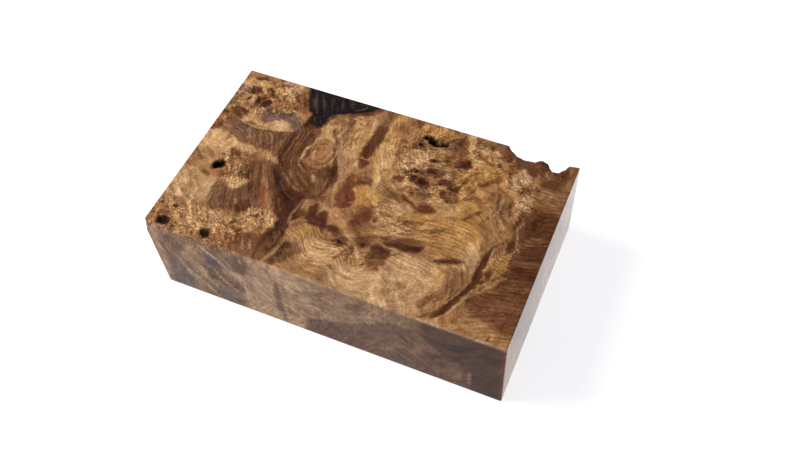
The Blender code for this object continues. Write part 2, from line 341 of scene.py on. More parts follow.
# Broad areas, each a tone, its strength, its width and softness, and the places it runs through
AREAS = (
    ("gold", .7, 9, 4, (3, 60), (12, 57)), ("gold", .8, 5, 2, (1, 68), (9, 69.5)),
    ("grey", .6, 4, 2, (0, 66), (6, 66)),
    ("pink", .7, 4, 2, (15.5, 73), (20, 72.5)), ("straw", .8, 3, 1.2, (21.5, 71), (21.5, 73.5)),
    ("caramel", .8, 5, 2, (15, 66), (19, 64)), ("brown", .6, 4, 2, (21, 68), (23, 64)),
    ("grey", .75, 6, 2.5, (17, 57.5), (27, 57.5)),
    ("gold", .9, 3.2, 1.5, (9.5, 53), (15.5, 53)), ("mid", .85, 8, 1.6, (13, 46.3), (26, 46.3)),
    ("gold", .85, 7, 3, (1, 42), (9, 41)),
    ("straw", .6, 3.5, 1.5, (13, 40.5), (19, 40.5)), ("gold", .6, 4, 2, (25, 41), (27, 40)),
    ("gold", .8, 6, 2, (39, 56), (43, 59)),
    ("caramel", .8, 6, 1.5, (41.5, 44), (42, 49)), ("bright", .7, 7, 2, (51, 57), (52, 63)),
    ("pink", .6, 3, 1.5, (50, 67), (54, 67)),
    ("caramel", .6, 4, 1.5, (54, 73), (55, 70)), ("pink", .45, 4, 1.5, (51, 50), (53, 40)),
    ("brown", .75, 5, 2, (58, 41), (62, 41)),
    ("bright", .8, 7, 2.5, (62, 73), (63.5, 56), (65, 45)), ("olive", .5, 5, 2, (69.5, 73.5), (72, 72)),
    ("bright", .8, 5, 2, (73, 71.5), (80, 71.5)),
    ("gold", .5, 10, 4, (73, 57), (82, 55)), ("caramel", .6, 9, 3, (75, 50), (84, 52)),
    ("olive", .5, 4, 2, (71, 41), (76, 40)),
    ("bright", .85, 12, 4, (95, 63), (101, 62)), ("gold", .8, 6, 2, (90, 72), (92, 67)),
    ("gold", .8, 7, 2, (95, 68), (100, 67)),
    ("honey", .85, 12, 4, (96, 56), (99, 44)), ("honey", .7, 5, 2, (106, 57), (109, 54)),
    ("straw", .75, 6, 2, (109, 60), (111, 64)),
    ("straw", .7, 4, 1.5, (114, 52), (115, 55)), ("mid", .4, 11, 3, (119, 56), (127, 58)),
    ("caramel", .6, 7, 3, (119, 57), (127, 59)), ("brown", .6, 14, 4, (121, 68), (127, 66)),
    ("brown", .85, 16, 4, (121, 45), (127, 43)),
    ("brown", .9, 14, 4, (121, 33), (127, 28)), ("brown", .8, 12, 4, (115, 13), (127, 11)),
    ("brown", .5, 9, 4, (119, 22), (127, 21)),
    ("plum", .35, 8, 3, (123, 40), (125, 26)), ("caramel", .6, 5, 3, (84.5, 44), (88, 43)),
    ("gold", .7, 5, 2, (85, 45), (92, 40)),
    ("gold", .7, 9, 3, (1, 38), (9, 35)), ("mid", .45, 7, 3, (1, 30), (5, 33)),
    ("caramel", .7, 5, 2, (15, 31), (20, 33)),
    ("gold", .6, 9, 3, (7, 12), (14, 8), (22, 8)), ("straw", .5, 13, 4, (3, 20), (10, 19)),
    ("caramel", .6, 3, 2, (10, 10.6), (14, 9.4)), ("caramel", .8, 4, 1.5, (63, 70), (64.6, 62)),
    ("gold", .7, 5, 2, (63, 58), (65, 53)), ("gold", .8, 5, 2, (17, 68.8), (20, 67.2)),
    ("caramel", .5, 5, 2, (89, 7), (92, 9)), ("gold", .5, 3, 2, (15, 3), (17, 5)),
    ("mid", .9, 15, 3, (27, 31), (23, 21)), ("mid", .8, 7, 2, (30, 27), (30, 20)),
    ("gold", .8, 4, 1.2, (19.5, 26), (22.5, 25.5)),
    ("gold", .8, 6, 2, (32, 16), (42, 15)), ("gold", .6, 5, 2, (29, 12), (34, 11)),
    ("mid", .6, 7, 3, (34, 4), (40, 5)),
    ("caramel", .6, 7, 2, (43, 34), (45, 40)), ("gold", .7, 7, 3, (74, 56), (72, 47)),
    ("gold", .7, 5, 2, (58, 36), (66, 37)), ("bright", .9, 7, 2, (61, 37), (66, 36.5)),
    ("caramel", .9, 9, 3, (59, 28), (64, 27)), ("gold", .7, 8, 3, (57, 11), (64, 10)),
    ("honey", .7, 5, 2, (50, 15), (52, 17)),
    ("gold", .7, 8, 3, (71, 35), (78, 35)), ("gold", .7, 5, 2, (75, 28.5), (82, 28.5)),
    ("straw", .75, 10, 3, (70, 5), (86, 5)),
    ("bright", .7, 6, 2, (85, 35.5), (92, 35)), ("straw", .5, 13, 4, (86, 7), (94, 7)),
    ("straw", .7, 8, 3, (88, 16), (95, 15)),
    ("honey", .8, 12, 4, (92, 30), (102, 33)), ("gold", .6, 9, 3, (51, 66), (51, 54)),
    ("straw", .8, 7, 2, (105, 28), (106, 24)), ("caramel", .5, 7, 3, (88, 24), (96, 26)),
    ("gold", .6, 6, 3, (97, 16), (99, 12)), ("honey", .9, 5.4, 2, (114.8, 30), (113.4, 19)),
    ("brown", .95, 8, 2.5, (105, 72), (112, 71), (118, 73)))

# Fields with a clear outline: a tone, its strength, the softness of its edge, and the outline
FIELDS = (
    ("band", .9, 1.0, (3, 50.5), (8, 50.5), (9.8, 51), (13, 50.2), (16, 50), (20, 50.6), (24, 51.5),
     (29.5, 53.6), (30, 48), (29.6, 43), (28.2, 40.2), (26.5, 41.5),
     (24, 43.8), (22, 42.6), (20.5, 41.2), (18.5, 42), (14, 42), (11.5, 43.4), (8, 46.5), (4.5, 48.8)),
    ("stripe", .9, 1.0, (28.8, 53), (30.8, 57), (33.5, 58.8), (37.2, 58), (38.4, 55), (38, 51.5),
     (36.6, 48.5), (36.4, 44), (37.6, 40.5), (41, 38.7), (44.5, 40.6), (47.5, 44),
     (50.4, 40), (51.4, 35), (50, 30.4), (46, 28.5), (40, 30.5), (35, 34), (31, 38.5), (29, 41),
     (28.6, 46)),
    ("deep", .95, 1.1, (29.2, 38), (31.5, 37.4), (34, 34.8), (37, 32.8), (41, 30.6), (45, 29.6),
     (46.4, 27), (45.4, 23), (44.4, 19.4), (41.6, 18.2), (38.4, 19.6), (36, 23.4), (33, 28.8),
     (30.4, 34)),
    ("deep", .9, 1.2, (42.6, 18), (44.6, 18), (46, 15), (46.6, 11.5), (46.4, 8.4), (45.6, 6), (45.8, 3.6),
     (44, 4), (42, 7.4), (39.6, 9.6), (40, 12), (41.6, 14.6)),
    ("field", .92, 1.0, (20.8, 36.4), (22, 35.5), (24.5, 37.2), (28, 38.3), (30, 36), (33, 29), (36, 22),
     (37.4, 19.2), (34, 18.8), (31.5, 18), (29.5, 16.6), (28.5, 14.6),
     (25.5, 15.6), (22.5, 14), (18.5, 13.2), (16.3, 14.2), (15.2, 16.5), (14.6, 19.5), (14.4, 22),
     (15, 24), (17.5, 24.3), (18.3, 23.3), (20.5, 22.6), (22.5, 24), (24, 27), (24.3, 28.3), (22.5, 29),
     (21, 31), (20.6, 33.5)),
    ("caramel", .7, 1.4, (28.4, 31), (30.4, 31), (33, 26.6), (36, 21.6), (37.4, 19.2), (34.4, 18.6),
     (32.4, 21.6), (30.4, 26)),
    ("caramel", .85, 1.2, (38, 50), (37.4, 46.5), (37.8, 42.6), (39.5, 40.8), (43, 41.8), (46, 44.5),
     (47.3, 47), (45.6, 51), (43.6, 53.6), (41, 53.4), (39.4, 52)),
    ("mid", .7, 1.2, (56.6, 76), (59.8, 76), (60, 68), (59.8, 63), (55.6, 63), (56.2, 68)),
    ("stripe", .95, 1.2, (56.2, 67), (59.6, 67), (60.2, 60), (59.4, 56), (58.8, 51.8), (55.4, 51.6),
     (55.2, 56), (55.6, 61)),
    ("maroon", .9, .8, (55.2, 50.6), (59.7, 50.7), (59.8, 49), (58.5, 46.9), (57.4, 47.8), (55.6, 49.2)),
    ("maroon", .9, 1.8, (55.4, 41), (58, 41), (59.5, 37), (61, 34), (62, 31), (61.4, 29.8), (59, 29.5),
     (56.5, 30.5), (55.6, 33), (55.2, 36.5)),
    ("brown", .8, 1.4, (56, 44), (59, 42.6), (63.6, 44), (64, 41), (61, 38.6), (58.4, 38), (56, 40)),
    ("bright", .95, 1.2, (59.5, 38), (61, 40), (64, 41), (66.5, 39), (68.5, 36), (67.5, 32.5),
     (65.5, 31.8), (62.6, 32.2), (61.4, 34.5), (60, 37)),
    ("caramel", .9, 1.6, (57, 30), (62, 31), (66, 32), (65, 27), (65, 22), (60, 22), (57.4, 25)),
    ("brown", .85, 3, (65, 33), (69, 33.4), (70, 30), (70.2, 27), (70.5, 25), (68.8, 23.5), (65.5, 22.5),
     (64.4, 25), (63.8, 28), (64.6, 31)),
    ("deep", .95, .9, (49, 22.5), (50, 24), (50.2, 27.5), (51.6, 28), (52.4, 25), (53.6, 24),
     (54.4, 26.6), (55.6, 26.8), (57, 23), (57.6, 21.4), (55, 20), (52.4, 19.2), (50.8, 20.4)),
    ("stripe", .9, .9, (46.2, 24), (48.4, 23.6), (49.4, 22.6), (48.2, 21), (46.8, 18.6), (45.6, 18.8),
     (45.4, 21)),
    ("deep", .85, .8, (58, 21.6), (60.4, 22), (62.4, 21), (63.4, 19.4), (60, 19), (58.4, 19)),
    ("deep", .9, .8, (68.2, 19.6), (69.4, 21), (71, 20.8), (73, 19.6), (73.6, 18.2), (72.2, 17),
     (70.6, 17.2), (69.8, 18.6)),
    ("deep", .85, 1.0, (74.6, 19.4), (76, 20.6), (78.6, 20.8), (81, 20), (81.2, 18.4), (80.6, 16),
     (79, 15), (76.6, 16), (75, 17.4)),
    ("brown", .7, 1.2, (74.8, 17.6), (80.8, 17), (80.4, 14.6), (78, 12), (75.4, 11.6)),
    ("brown", .9, 1.2, (76.5, 20.8), (79, 23), (82, 25.4), (86, 26.8), (90, 27.4), (90.8, 25.6),
     (89.6, 22.6), (87, 20.8), (84, 20.6), (81.5, 21.8), (79.6, 21.2)),
    ("field", .85, .9, (47, 9), (48.5, 10.6), (51.6, 11.2), (53, 10.4), (55, 8.8), (54, 7.2), (52.6, 6.4),
     (51.8, 4.6), (51.4, 2.8), (49, 2), (46.6, .6), (45, 1), (46.8, 4.2), (47.4, 7)),
    ("straw", .5, 2.4, (82.5, 20), (88, 20.4), (94, 20.6), (98, 20.4), (99.6, 18), (99.6, 13), (97, 13.4),
     (95.6, 11.6), (95.4, 8), (94, 4), (93, 0), (84, 0), (80, 4), (80.6, 10)),
    ("honey", .5, 2.4, (86, 28), (91, 28.6), (94, 32), (92, 37), (97, 38.6), (103, 38.4), (106, 36),
     (107, 30), (107.4, 26), (104, 25), (98, 22.8), (93, 21), (91.5, 24)),
    ("stripe", .8, 1.6, (118, 50.5), (122, 52), (124, 54.4), (130, 54.6), (130, 20), (121, 18), (116, 15),
     (117, 21), (118.4, 26), (117.4, 30.6), (119.6, 34), (118.6, 38), (117.8, 44)),
    ("brown", .7, 2.2, (112, 20), (130, 21), (130, 5), (118, 7.6), (110, 10.5), (109.4, 13), (111, 17),
     (113, 19)),
    ("brown", .9, .9, (95, 21), (97.4, 23.2), (100, 24), (103.6, 25.2), (102.4, 23), (100, 21.4),
     (97.6, 20.4)),
    ("deep", .95, .8, (111.4, 33), (111, 29), (111.4, 24), (112.8, 19.4), (111.4, 18.4), (110.4, 17.4),
     (109.8, 14), (108.4, 13.8), (108.2, 17), (109, 21), (108.8, 26), (109.4, 28.6), (110.6, 31)),
    ("deep", .92, .8, (107.4, 14.2), (108, 12), (107.2, 7.6), (105.6, 4.6), (103, 2.4), (102.2, 3.2),
     (103.8, 6.4), (105, 10), (106.2, 13)),
    ("mid", .7, 1.8, (100.6, 11), (101.4, 16), (103.4, 20.6), (106.6, 21), (107.6, 17), (106, 13),
     (104, 9), (101, 8.6), (98, 4), (96.4, 3.6), (96.8, 6), (99, 9.6)),
    ("brown", .6, 1.2, (84.6, 62), (86, 66), (85.6, 70), (86.6, 73), (88.6, 71), (89.6, 67), (91, 63.6),
     (88, 62.4), (85.4, 61.6)),
    ("deep", .95, .8, (87.4, 59.2), (88.6, 61.4), (90, 63), (92.2, 64), (92.6, 61.4), (92.6, 59),
     (90.6, 58.4), (88.6, 58)),
    ("bright", .8, 1.6, (92.6, 63.8), (95, 66), (98, 67), (101, 66), (104, 63.6), (104.6, 61.6),
     (102, 61), (98.6, 58), (95, 56.6), (92.8, 58.4)),
    ("maroon", .7, 1.2, (100.6, 59.6), (103.6, 61.2), (104.8, 61), (104.6, 58.6), (102.6, 57.4),
     (99.8, 54.6), (98, 54.4), (98.6, 56), (101, 58)),
    ("brown", .95, .9, (100, 76), (102, 73.4), (103.8, 72), (106, 70.6), (106.4, 66.5), (108.5, 66),
     (110.4, 66.6), (112, 65.6), (114.4, 65), (116.4, 67.6), (119, 66.4), (121, 67), (122.4, 71),
     (123, 78), (102, 78)),
    ("stripe", .8, 1.3, (117.4, 62.4), (119, 65), (121.4, 68.6), (123.6, 70.6), (124, 66), (122.4, 62.4),
     (120, 61), (118, 61)), ("mid", .7, 2.4, (117, 53), (130, 55), (130, 66), (122.6, 62.4), (117, 61)),
    ("maroon", .85, 1.1, (84, 41.6), (87, 41), (88.6, 39.6), (87.6, 38), (84, 37.2), (80, 38.4),
     (76.4, 40.6), (75.6, 42.4), (78, 41.6), (81, 40.2)),
    ("brown", .85, 1.2, (74.8, 54), (78, 53.6), (81, 55.8), (84.6, 56), (85.2, 54), (83, 52.4), (80, 52),
     (77, 51.2), (74.6, 51.6)),
    ("deep", .95, .8, (75.2, 51), (77.6, 50.8), (77.8, 48), (76.2, 47.4), (74.8, 49.2)),
    ("deep", .95, .9, (77.8, 50.8), (80.4, 51.8), (81.6, 50.6), (82.6, 48), (81, 46.6), (79, 47),
     (77.8, 48.4)),
    ("mid", .9, .9, (69.4, 48.4), (71.4, 49), (73.4, 47.4), (73, 45.8), (71, 45.6), (69.8, 46.6)),
    ("grey", .85, 1.4, (15.5, 57.5), (18.5, 58.8), (22, 60.4), (25, 61.8), (27, 60), (30, 57), (31, 54.6),
     (28.4, 53.8), (26.8, 55.6), (24, 56.4), (20.4, 55.8), (18.6, 53.6), (16.6, 53), (15.6, 54.6)),
    ("gold", .9, .9, (17.4, 52), (18.6, 53.8), (20.4, 55.6), (23.6, 56.6), (26.4, 55.6), (27, 53.8),
     (24.6, 52), (21, 51)),
    ("gold", .85, 1.0, (17.8, 24.2), (19.4, 26.4), (21.6, 27), (24, 28.6), (24.4, 27), (22.6, 24.2),
     (20.4, 22.8), (18.6, 23.4)),
    ("maroon", .8, 1.4, (42, 68.4), (44, 70.4), (48, 71.6), (53, 75), (55, 75), (53.6, 72), (50, 69.6),
     (46, 67.4), (43.4, 66.4)),
    ("brown", .6, 1.6, (85.4, 51), (88, 53.6), (89, 56), (91.6, 52), (92.6, 48.4), (90.4, 48.4),
     (88, 50)),
    ("mid", .5, 1.6, (104.6, 56), (107, 57), (109, 52), (111, 46), (110.6, 42), (107.6, 44), (106, 50)),
    ("brown", .75, 1.2, (34, 8.4), (37, 9.6), (40.4, 9), (41.6, 4), (40.6, -1), (35, -1), (33.6, 4)),
    ("brown", .85, 1.0, (60.6, 19.6), (63.6, 20.4), (66, 18.4), (66.4, 16), (64.6, 14.6), (62, 16)),
    ("plum", .8, .9, (2.6, 56), (5, 57), (9, 56.4), (10, 54), (7.6, 53), (4, 53.6)),
    ("plum", .75, .9, (4.8, 68), (7.6, 68.4), (9.4, 66), (7.4, 64.4), (5, 65.4)),
    ("plum", .8, .9, (9, 64), (12, 64.4), (13, 61.6), (11.6, 59), (9.4, 60)),
    ("maroon", .8, .9, (16.6, 66), (18.6, 66.6), (20, 65), (18.4, 63.6), (16.8, 64.2)),
    ("plum", .7, .9, (0, 60), (2.4, 61), (3.4, 58.6), (1.6, 56.6), (0, 57)),
    ("maroon", .8, .9, (-1, 48.6), (2.6, 49), (3.6, 46.4), (2, 44), (-1, 44)),
    ("deep", .8, 1.0, (79, 57), (84, 57.4), (85.6, 55), (83.4, 53), (79.6, 53.4)),
    ("deep", .8, .9, (72.4, 52.6), (75, 53), (76, 50.8), (74, 49.4), (72, 50.4)),
    ("brown", .8, 1.0, (69.6, 63.4), (72.4, 66), (74.8, 65), (74.4, 62.4), (71.6, 61.4)))

# Brown, plum and maroon streaks, where bark stain and crowded buds darken the wood
STREAKS = (
    ("plum", .85, 2, 1.2, (4, 72), (9, 72.6)), ("plum", .85, 1.9, .8, (5.8, 66.6), (7.2, 66.4)),
    ("plum", .8, 2, .8, (11.2, 68.2), (13, 67.8)),
    ("plum", .7, 1, .6, (10.6, 65.2), (11.5, 64.8)), ("brown", .8, 1, .7, (14, 71), (19, 73.2)),
    ("brown", .7, .9, .7, (15, 73.6), (18, 71)),
    ("orange", .8, 1.8, 1, (18, 62.4), (20, 62.1)), ("olive", .8, 1.5, .8, (17.6, 65.4), (18.4, 65.1)),
    ("brown", .75, 1.3, .6, (11.5, 51.7), (15, 51.6)),
    ("plum", .85, 1.4, .7, (7.6, 52.6), (8.4, 52.3)), ("plum", .7, 2.2, 1, (21.5, 58.4), (24, 59.8)),
    ("black", .7, .6, .4, (24.5, 60.5), (23.2, 58.5), (22.5, 57)),
    ("black", .85, 1.5, .7, (0.3, 53.1), (2.4, 52.9)), ("red", .8, 1, .6, (0, 51.4), (3, 52.3)),
    ("orange", .6, 2.4, 1.2, (1.3, 49.6), (1.6, 46.8)),
    ("black", .7, .8, .5, (2.3, 47.3), (2.8, 46.8)), ("black", .7, .7, .5, (0.2, 45.9), (0.9, 45.6)),
    ("brown", .7, 1.3, .9, (8.6, 46), (8.4, 41)),
    ("plum", .75, 1.4, .8, (11.2, 50.4), (12.9, 48)), ("plum", .75, 1.6, .8, (25.6, 51), (26.8, 48.8)),
    ("plum", .7, 1.5, .8, (24, 44.8), (25, 42.6)),
    ("orange", .6, 1.6, .9, (14, 47), (15, 45)), ("olive", .6, 1.4, .8, (23, 48.6), (23.9, 46.6)),
    ("black", .6, .6, .4, (22.6, 47), (22.2, 45.3)),
    ("brown", .7, 1, .6, (19.2, 50), (22.5, 43)), ("brown", .7, .9, .6, (16.2, 50), (19, 43.5)),
    ("plum", .5, 1.2, .7, (18.2, 39), (19, 38)),
    ("plum", .85, 2.6, 1, (29.3, 53), (29.6, 47), (29.5, 41)), ("red", .7, 1.4, .8, (33, 50), (32.8, 46)),
    ("brown", .7, 1.5, .8, (32.6, 57), (32.4, 52)),
    ("brown", .6, 1.2, .8, (32.5, 45), (32.8, 40)),
    ("black", .75, .6, .4, (35.6, 55), (35.1, 52.4), (34.8, 50)),
    ("red", .6, 1.4, .8, (35.8, 57), (36.3, 55)),
    ("brown", .8, 1.4, .8, (35.6, 46.5), (35.4, 42.5), (37.4, 38.3), (41, 35)),
    ("brown", .7, 1.3, .8, (33, 38), (37, 33.5), (43, 29.5)),
    ("plum", .8, 1.5, .8, (37.9, 47.4), (38.2, 44.6)),
    ("brown", .85, 2.8, 1, (37.4, 41.4), (41.5, 40), (44, 40.5)),
    ("brown", .6, 1, .6, (40.5, 51), (41.6, 52.3), (43.2, 52.6)),
    ("olive", .7, 1.6, .8, (39.6, 50), (40.6, 49)), ("brown", .6, .9, .6, (41, 53.9), (43.2, 53.8)),
    ("mid", .6, 2, 1, (42.6, 59.4), (43.4, 58.6)),
    ("brown", .8, 1.7, .9, (42, 69), (48, 69.6), (52.5, 71)),
    ("maroon", .8, 2, .9, (45.6, 66.6), (46.6, 64.2)), ("orange", .7, 1.5, .9, (49.8, 58), (50.3, 56)),
    ("brown", .6, .6, .4, (50.8, 61), (51.3, 57.5)),
    ("grey", .6, 1.8, .8, (47, 65.5), (47.4, 59), (48, 54)),
    ("plum", .92, (1, 1.3, 1.5, 2.2, 3, 3), .8, (42.2, 58.8), (44.8, 54.4), (47.3, 49.2), (49.2, 44.8),
     (50.7, 41), (51.8, 37.6)),
    ("brown", .6, .9, .6, (52.6, 49.4), (53.4, 46.6)), ("brown", .5, .9, .6, (51.2, 49), (52.8, 43)),
    ("brown", .5, .8, .6, (53.2, 45), (54, 40.4)),
    ("plum", .4, (2.2, 2.3, 3.2, 2.8, 2), 1, (58.1, 75), (58, 66), (57.4, 59), (57.3, 55), (57.2, 51.8)),
    ("plum", .6, 2, 1, (57.3, 58), (57.3, 53.5)),
    ("maroon", .95, (4.2, 3.2, .8), .7, (57.4, 49.9), (57.7, 48.7), (58, 46.9)),
    ("orange", .6, 1.6, 1, (57.6, 42.2), (58.6, 41.8)),
    ("maroon", .7, 2, .9, (62, 43.8), (63.2, 43.2)),
    ("brown", .8, .7, .4, (65, 50.2), (66, 46), (68, 42), (70.2, 38.8)),
    ("maroon", .5, 2.6, 1.4, (64, 68.2), (67.6, 68.4)),
    ("brown", .6, 1.5, .9, (66.8, 63.6), (68.2, 63.4)), ("olive", .6, 1.6, .8, (61, 61.6), (62.1, 61.4)),
    ("brown", .5, .8, .5, (68.5, 74), (70.5, 71.4)), ("plum", .8, 1.4, .7, (79, 74.4), (83, 74.6)),
    ("plum", .85, 1, .6, (80.6, 68.8), (82.6, 69.5), (84.2, 71.4)),
    ("black", .9, 1.7, .6, (73.2, 68.3), (75.5, 68.6), (77, 66.9), (79, 66.4), (81.8, 67.2)),
    ("black", .8, 1.5, .7, (74.5, 67.2), (78.5, 65.7), (81.4, 66.6)),
    ("plum", .9, 1.6, .7, (72.7, 64.3), (73.8, 64)), ("plum", .8, .8, .5, (76, 63.5), (79, 64)),
    ("brown", .6, .8, .5, (78.4, 62), (83.4, 64)),
    ("plum", .85, 1.6, .8, (79, 58.9), (81.8, 59)), ("plum", .6, 1, .6, (77.6, 60), (78.4, 60)),
    ("maroon", .8, 2, .9, (83.7, 62.2), (84.5, 61.8)),
    ("plum", .6, 1.2, .6, (84.2, 57), (85, 57)),
    ("brown", .8, 3, 1.4, (75.4, 52.8), (80, 53.5), (84, 53.6)),
    ("plum", .7, 1.5, .9, (80, 54), (83.2, 54.4)),
    ("plum", .8, .7, .5, (71, 54), (73.6, 55.4), (76.6, 55)),
    ("plum", .8, .7, .5, (76, 57.4), (78.6, 56)), ("plum", .7, .6, .4, (72, 59), (74.6, 58)),
    ("plum", .8, .8, .5, (82.6, 60.4), (86, 61)), ("maroon", .8, .8, .5, (84, 58.4), (87, 60)),
    ("plum", .7, .7, .5, (77, 62), (80, 62.4)), ("maroon", .7, .7, .5, (70, 50), (71.6, 51.6)),
    ("plum", .7, .7, .5, (83.4, 50), (84.4, 47.6)), ("plum", .7, .7, .5, (78.6, 45.6), (81.6, 44.6)),
    ("brown", .8, .6, .4, (72, 65), (76, 65.4)), ("plum", .7, .7, .5, (82, 65.4), (84.6, 66.4)),
    ("plum", .7, .6, .4, (84, 69), (85, 72)),
    ("plum", .6, 1.8, .9, (75.3, 52.6), (76.8, 52.4)), ("maroon", .8, 2.6, .8, (70.8, 47), (72, 47.6)),
    ("olive", .8, 1.1, .6, (65.8, 49.3), (67.2, 49)),
    ("olive", .6, 1.8, .9, (66.6, 57), (67.4, 57)), ("brown", .6, .9, .6, (70, 58), (74, 56.5)),
    ("brown", .6, .8, .6, (69.5, 55), (73.4, 53.6)),
    ("brown", .5, .8, .5, (70, 52), (74, 51.4)), ("grey", .6, 3.4, 1.6, (81.5, 45.6), (83.5, 43.6)),
    ("brown", .7, .9, .5, (68.2, 43), (71.4, 41.4), (75.4, 38.8), (79, 37.3)),
    ("maroon", .85, 1.6, .8, (75.4, 41.3), (78, 40.6)),
    ("brown", .6, .8, .5, (69.4, 45.6), (73, 44), (77, 41.8)),
    ("plum", .6, 2, 1.2, (86.4, 72.6), (85.4, 68), (85.6, 63.4)),
    ("mid", .6, 1.6, 1, (88, 71), (87.6, 66)),
    ("plum", .92, 4.2, 1, (89, 61), (91, 61)), ("brown", .8, 2, 1, (84, 60), (88, 60.4)),
    ("grey", .6, 1.6, .9, (84, 56), (87, 56.2)), ("plum", .7, 2.6, 1.2, (85.6, 51.4), (89.4, 51.6)),
    ("plum", .7, 3, 1.3, (89.6, 50), (91.6, 49.8)),
    ("plum", .75, (1.4, 1, .8), .7, (93.6, 56.2), (92.8, 53), (92, 49.6)),
    ("brown", .7, 1.2, .7, (98.4, 54.4), (102.6, 57.6)),
    ("brown", .6, 2.4, 1.3, (101.8, 49), (104.5, 52.4)), ("brown", .6, 1.6, .9, (95.4, 50), (97, 51.5)),
    ("plum", .75, 1.7, .8, (98.4, 39.8), (100.6, 42.6), (102.6, 44.6)),
    ("brown", .6, 2, 1.2, (104, 47), (105, 47.2)), ("maroon", .6, 2.6, 1.2, (102.6, 61), (103.3, 59)),
    ("red", .5, 2.4, 1.4, (94.6, 60), (95.4, 57)),
    ("brown", .85, 1.7, .8, (91.2, 68.3), (91.8, 67.7)),
    ("brown", .85, 1.6, .8, (93.3, 68.4), (93.8, 67.6)), ("maroon", .8, 2.2, 1, (91.2, 75), (91.6, 71.4)),
    ("olive", .6, 3, 1.4, (93.6, 73.4), (96, 72.6)), ("plum", .7, 1.6, .8, (96.6, 72.2), (97.4, 72)),
    ("plum", .7, 2.6, 1.2, (98.4, 74), (102, 73.6)),
    ("maroon", .7, 3.2, 1.4, (100.6, 71.4), (103.6, 70.4)),
    ("plum", .75, 1.9, .9, (101.4, 68.5), (103.8, 68.4)),
    ("plum", .6, 1.4, .8, (101.2, 65.8), (101.8, 65.2)),
    ("brown", .85, 2.2, 1, (106.2, 70), (105.8, 66), (106.2, 62)),
    ("orange", .6, 1, .7, (105.6, 69.4), (105.4, 67)), ("stripe", .7, 3, 1.4, (113, 70.6), (117.6, 66.6)),
    # The red arc on the natural edge is a growth line with a painted highlight of the rounded surface
    ("red", .7, 1, .6, (109, 69), (112, 70), (115, 70.8)),
    ("plum", .85, .9, .5, (110.8, 66), (113, 65.2), (114.4, 62)),
    ("stripe", .5, 4.2, 1.6, (118.6, 64), (122, 63)),
    ("stripe", .6, 3.6, 1.5, (121.2, 69), (123.4, 65)),
    ("caramel", .6, 1, .8, (117.4, 68.4), (118.6, 65.6)),
    ("caramel", .5, .6, .5, (113.6, 68), (115, 65.6)), ("mid", .6, 1, .7, (121, 70.6), (122.6, 67)),
    ("plum", .8, 1.6, .8, (116.4, 60.2), (117.2, 59.8)),
    ("olive", .7, 1.5, .8, (110.1, 60.3), (110.9, 59.8)),
    ("plum", .7, .9, .5, (112, 57.6), (113.6, 55.9)),
    ("brown", .7, 1.2, .6, (108.4, 49.2), (109.1, 45.8)),
    ("brown", .75, 1.1, .6, (110.4, 53.2), (111.2, 49), (111.6, 45.8)),
    ("brown", .6, .9, .5, (105.6, 53), (106.6, 47), (109.6, 41)),
    ("orange", .6, 1.6, .9, (113.8, 45.4), (114.2, 44.4)),
    ("plum", .8, 1.1, .6, (115.3, 46.4), (114.9, 44), (114.4, 41.8)),
    ("brown", .85, 2.8, 1.2, (91.4, 47.6), (93, 45.6)), ("plum", .6, 1.6, .9, (89.4, 45.2), (90.6, 44.8)),
    ("brown", .7, 1.8, .9, (84, 38.4), (88, 39.2)), ("maroon", .7, 2.2, 1, (82.4, 37.2), (87, 38.4)),
    ("maroon", .75, 2.6, 1.2, (12.6, 37.6), (15.4, 37.2)),
    ("grey", .6, 1.8, .9, (11.2, 35.3), (13, 34.8)),
    ("brown", .5, 1, .7, (0, 35), (4, 31)), ("brown", .5, .9, .7, (0, 32), (3, 29)),
    ("plum", .6, 1.2, .7, (4.1, 31.4), (5, 30.7)), ("red", .4, 2.2, 1.6, (12.8, 29.6), (14, 27)),
    ("orange", .5, 1.4, .9, (11.4, 26.9), (12.8, 26.6)),
    ("olive", .85, 1.8, .8, (8.7, 26.1), (10.4, 25.5)), ("brown", .6, .7, .5, (15.6, 32.8), (16.6, 31)),
    ("brown", .6, .7, .5, (19.6, 37), (20.6, 35.8)), ("brown", .6, .7, .5, (17.4, 36), (19, 33.4)),
    ("plum", .7, 2.2, 1, (26, 27.8), (27.2, 24.4)), ("plum", .75, 2.4, 1, (26.6, 18.8), (27.6, 16)),
    ("plum", .75, 2, 1, (28.4, 19.6), (29.6, 16.6)),
    ("brown", .6, 1.4, .8, (22.2, 35), (24.4, 30), (26, 27)),
    ("brown", .6, 1.2, .7, (25.4, 36), (28.4, 29.4), (30, 25)),
    ("grey", .6, 1, .7, (16.6, 23.4), (18.4, 20.4), (18, 16.6)),
    ("grey", .6, 1, .7, (19, 23), (20.6, 19.6), (20.4, 16)),
    ("brown", .6, .9, .6, (17.8, 23.2), (19.6, 19.8), (19, 16)),
    ("brown", .6, 1, .6, (22, 22), (24.2, 17.6)),
    ("brown", .75, .9, .5, (16.2, 24), (16.8, 20), (16.6, 16), (17.8, 13.8), (21.8, 13)),
    ("red", .65, (2, 3, 2.6, 1.2), 1.4, (30, 27), (32, 24), (34.2, 20.6), (35.6, 17.6)),
    ("plum", .9, (1, 2.6, 4, 6, 5.4), 1, (29.3, 35.8), (33, 32), (37, 28), (41, 24.4), (44, 20.6)),
    ("plum", .9, 3, 1.2, (41, 28.4), (45, 25)),
    ("brown", .7, 1.6, .9, (33.6, 15.7), (34.6, 15.2)),
    ("plum", .75, (1.4, 2, 1.4), .9, (27.4, 15), (28, 13), (28.6, 11)),
    ("red", .6, .9, .6, (23.6, 10.6), (25, 10.2), (26.4, 9.4)),
    ("olive", .8, 1.9, .8, (29.7, 8.9), (31.4, 8.6)),
    ("olive", .6, 1.8, 1, (2.6, 12.7), (5.6, 12.2)),
    ("red", .6, 1.2, .8, (24.4, 7.6), (26.6, 4), (27, 2)),
